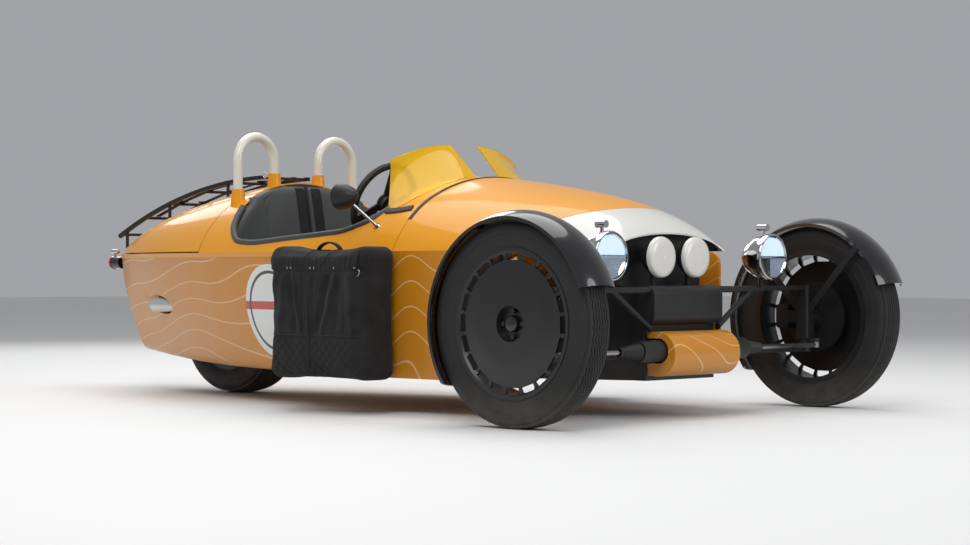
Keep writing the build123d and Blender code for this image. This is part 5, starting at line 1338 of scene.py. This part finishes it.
def makeGauges():
    board = surfaceOf(cadNodes["dashboard"])
    rims, faces, marks = [], [], []
    wide, rear = gauge["radius"], (-1, 0, 0)
    rim = [(0.0, wide), (0.006, wide), (0.008, wide - 0.002), (0.006, wide - 0.005), (0.0005, wide - 0.005)]
    dial = [(0.0, wide - 0.004), (0.0012, wide - 0.005), (0.0012, 0.0)]
    for side in (-1, 1):
        hit = board.ray_cast(Vector((0.0, side * gauge["y"], gauge["z"])), Vector((1, 0, 0)))[0]
        centre = Vector((hit.x, side * gauge["y"], gauge["z"]))
        rims.append(latheShape(rim, centre, rear))
        faces.append(latheShape(dial, centre, rear, 40))
        for step in range(gauge["ticks"]):
            angle = math.radians(between(*gauge["sweep"], step / (gauge["ticks"] - 1)))
            across, up = math.cos(angle) * gauge["tickAt"], math.sin(angle) * gauge["tickAt"]
            spot = centre - Vector((gauge["tickAhead"], across, up))
            marks.append(blockShape(spot, gauge["tick"], 0.0, Matrix.Rotation(angle, 4, "X")))
        pivot = centre + Vector(gauge["needleAt"])
        marks.append(blockShape(pivot, gauge["needle"], 0.0, Matrix.Rotation(gauge["needleTurn"], 4, "X")))
    shapePiece("gauge_rims", rims, "chrome", "chassis")
    shapePiece("gauge_faces", faces, "dial", "chassis")
    shapePiece("gauge_marks", marks, "dialMark", "chassis", limit=30)


makeGauges()
print("cockpit fittings made")

# Scuttle trim: a rubber strip along the bonnet seam and a black foot plate under each screen's outer edge
scuttle = {
    "station": 0.8995, "ahead": 0.004, "band": (0.0085, 0.0020), "reach": 0.470, "lift": 0.0010,
    "foot": ((0.925, 0.752), (0.965, 0.746), (1.005, 0.742), (1.040, 0.742)),
    "footBand": (0.015, 0.0035), "footLift": 0.0025,
}


def makeScuttleTrim():
    shell, lid = surfaceOf(cadNodes["cockpit_surround"]), surfaceOf(cadNodes["bonnet"])
    strip = []
    for y in np.linspace(-scuttle["reach"], scuttle["reach"], 61):
        hit = hitDown(lid, behind(scuttle["station"]) + scuttle["ahead"], y, 1.2)
        if hit:
            strip.append(hit + Vector((0, 0, scuttle["lift"])))
    shapes = [bandShape(strip, scuttle["band"])]
    for side in (-1, 1):
        line, facing = [], Vector()
        for station, height in scuttle["foot"]:
            hit, normal = hitSide(shell, behind(station), side, height)
            if hit:
                facing += normal
                line.append(hit + normal * scuttle["footLift"])
        if len(line) > 1:
            shapes.append(bandShape(line, scuttle["footBand"], facing.normalized()))
    shapePiece("scuttle_trim", shapes, "rubber", "chassis", limit=40)


makeScuttleTrim()

# Rack straps: two webbing bands along the slats with buckles
rackStraps = {
    "y": (-0.060, 0.060), "from": 2.125, "to": 3.040, "band": (0.014, 0.0016), "lift": 0.0022,
    "spacing": 0.06, "buckle": (0.034, 0.038, 0.008), "buckleLift": 0.003, "buckleRounding": 0.002,
}


def makeRackStraps():
    rack = surfaceOf(cadNodes["luggage_rack"])
    webs, buckles = [], []
    for y in rackStraps["y"]:
        kept = []
        for station in np.linspace(rackStraps["from"], rackStraps["to"], 120):
            hit = hitDown(rack, behind(station), y, 1.2)
            if not hit:
                continue
            point = hit + Vector((0, 0, rackStraps["lift"]))
            if not kept or (point - kept[-1]).length > rackStraps["spacing"]:
                kept.append(point)
        webs.append(bandShape(kept, rackStraps["band"]))
        for point in (kept[1], kept[-2]):
            spot = point + Vector((0, 0, rackStraps["buckleLift"]))
            buckles.append(blockShape(spot, rackStraps["buckle"], rackStraps["buckleRounding"]))
    shapePiece("rack_straps", webs, "webbing", "boot_lid", limit=60)
    shapePiece("rack_buckles", buckles, "satinBlack", "boot_lid", limit=40)


makeRackStraps()

# Hoop eyes, and lashing knobs on the body side with a profile in shares of length and radius
eye = {"station": 2.042, "y": 0.142, "z": 0.915, "reach": 0.0255, "loop": 0.0105, "wire": 0.0028}
knob = {
    "station": 1.362, "z": 0.470, "radius": 0.0105, "long": 0.016,
    "profile": ((0.0, 0.6), (0.5, 0.6), (0.55, 1.0), (1.0, 1.0), (1.1, 0.7), (1.1, 0.0)),
}


def makeSmallParts():
    tub = surfaceOf(cadNodes["tub"])
    loops, buttons = [], []
    profile = [(knob["long"] * along, knob["radius"] * wide) for along, wide in knob["profile"]]
    for side in (-1, 1):
        centre = Vector((behind(eye["station"]) - eye["reach"] - eye["loop"], side * eye["y"], eye["z"]))
        loops.append(wireRing(centre, eye["loop"], eye["wire"]))
        spot = hitSide(tub, behind(knob["station"]), side, knob["z"])[0]
        buttons.append(latheShape(profile, spot, (0, side, 0), 24))
    shapePiece("hoop_eyes", loops, "chrome", "chassis", limit=60)
    shapePiece("lashing_knobs", buttons, "satinBlack", "chassis")


makeSmallParts()
print("small parts made")
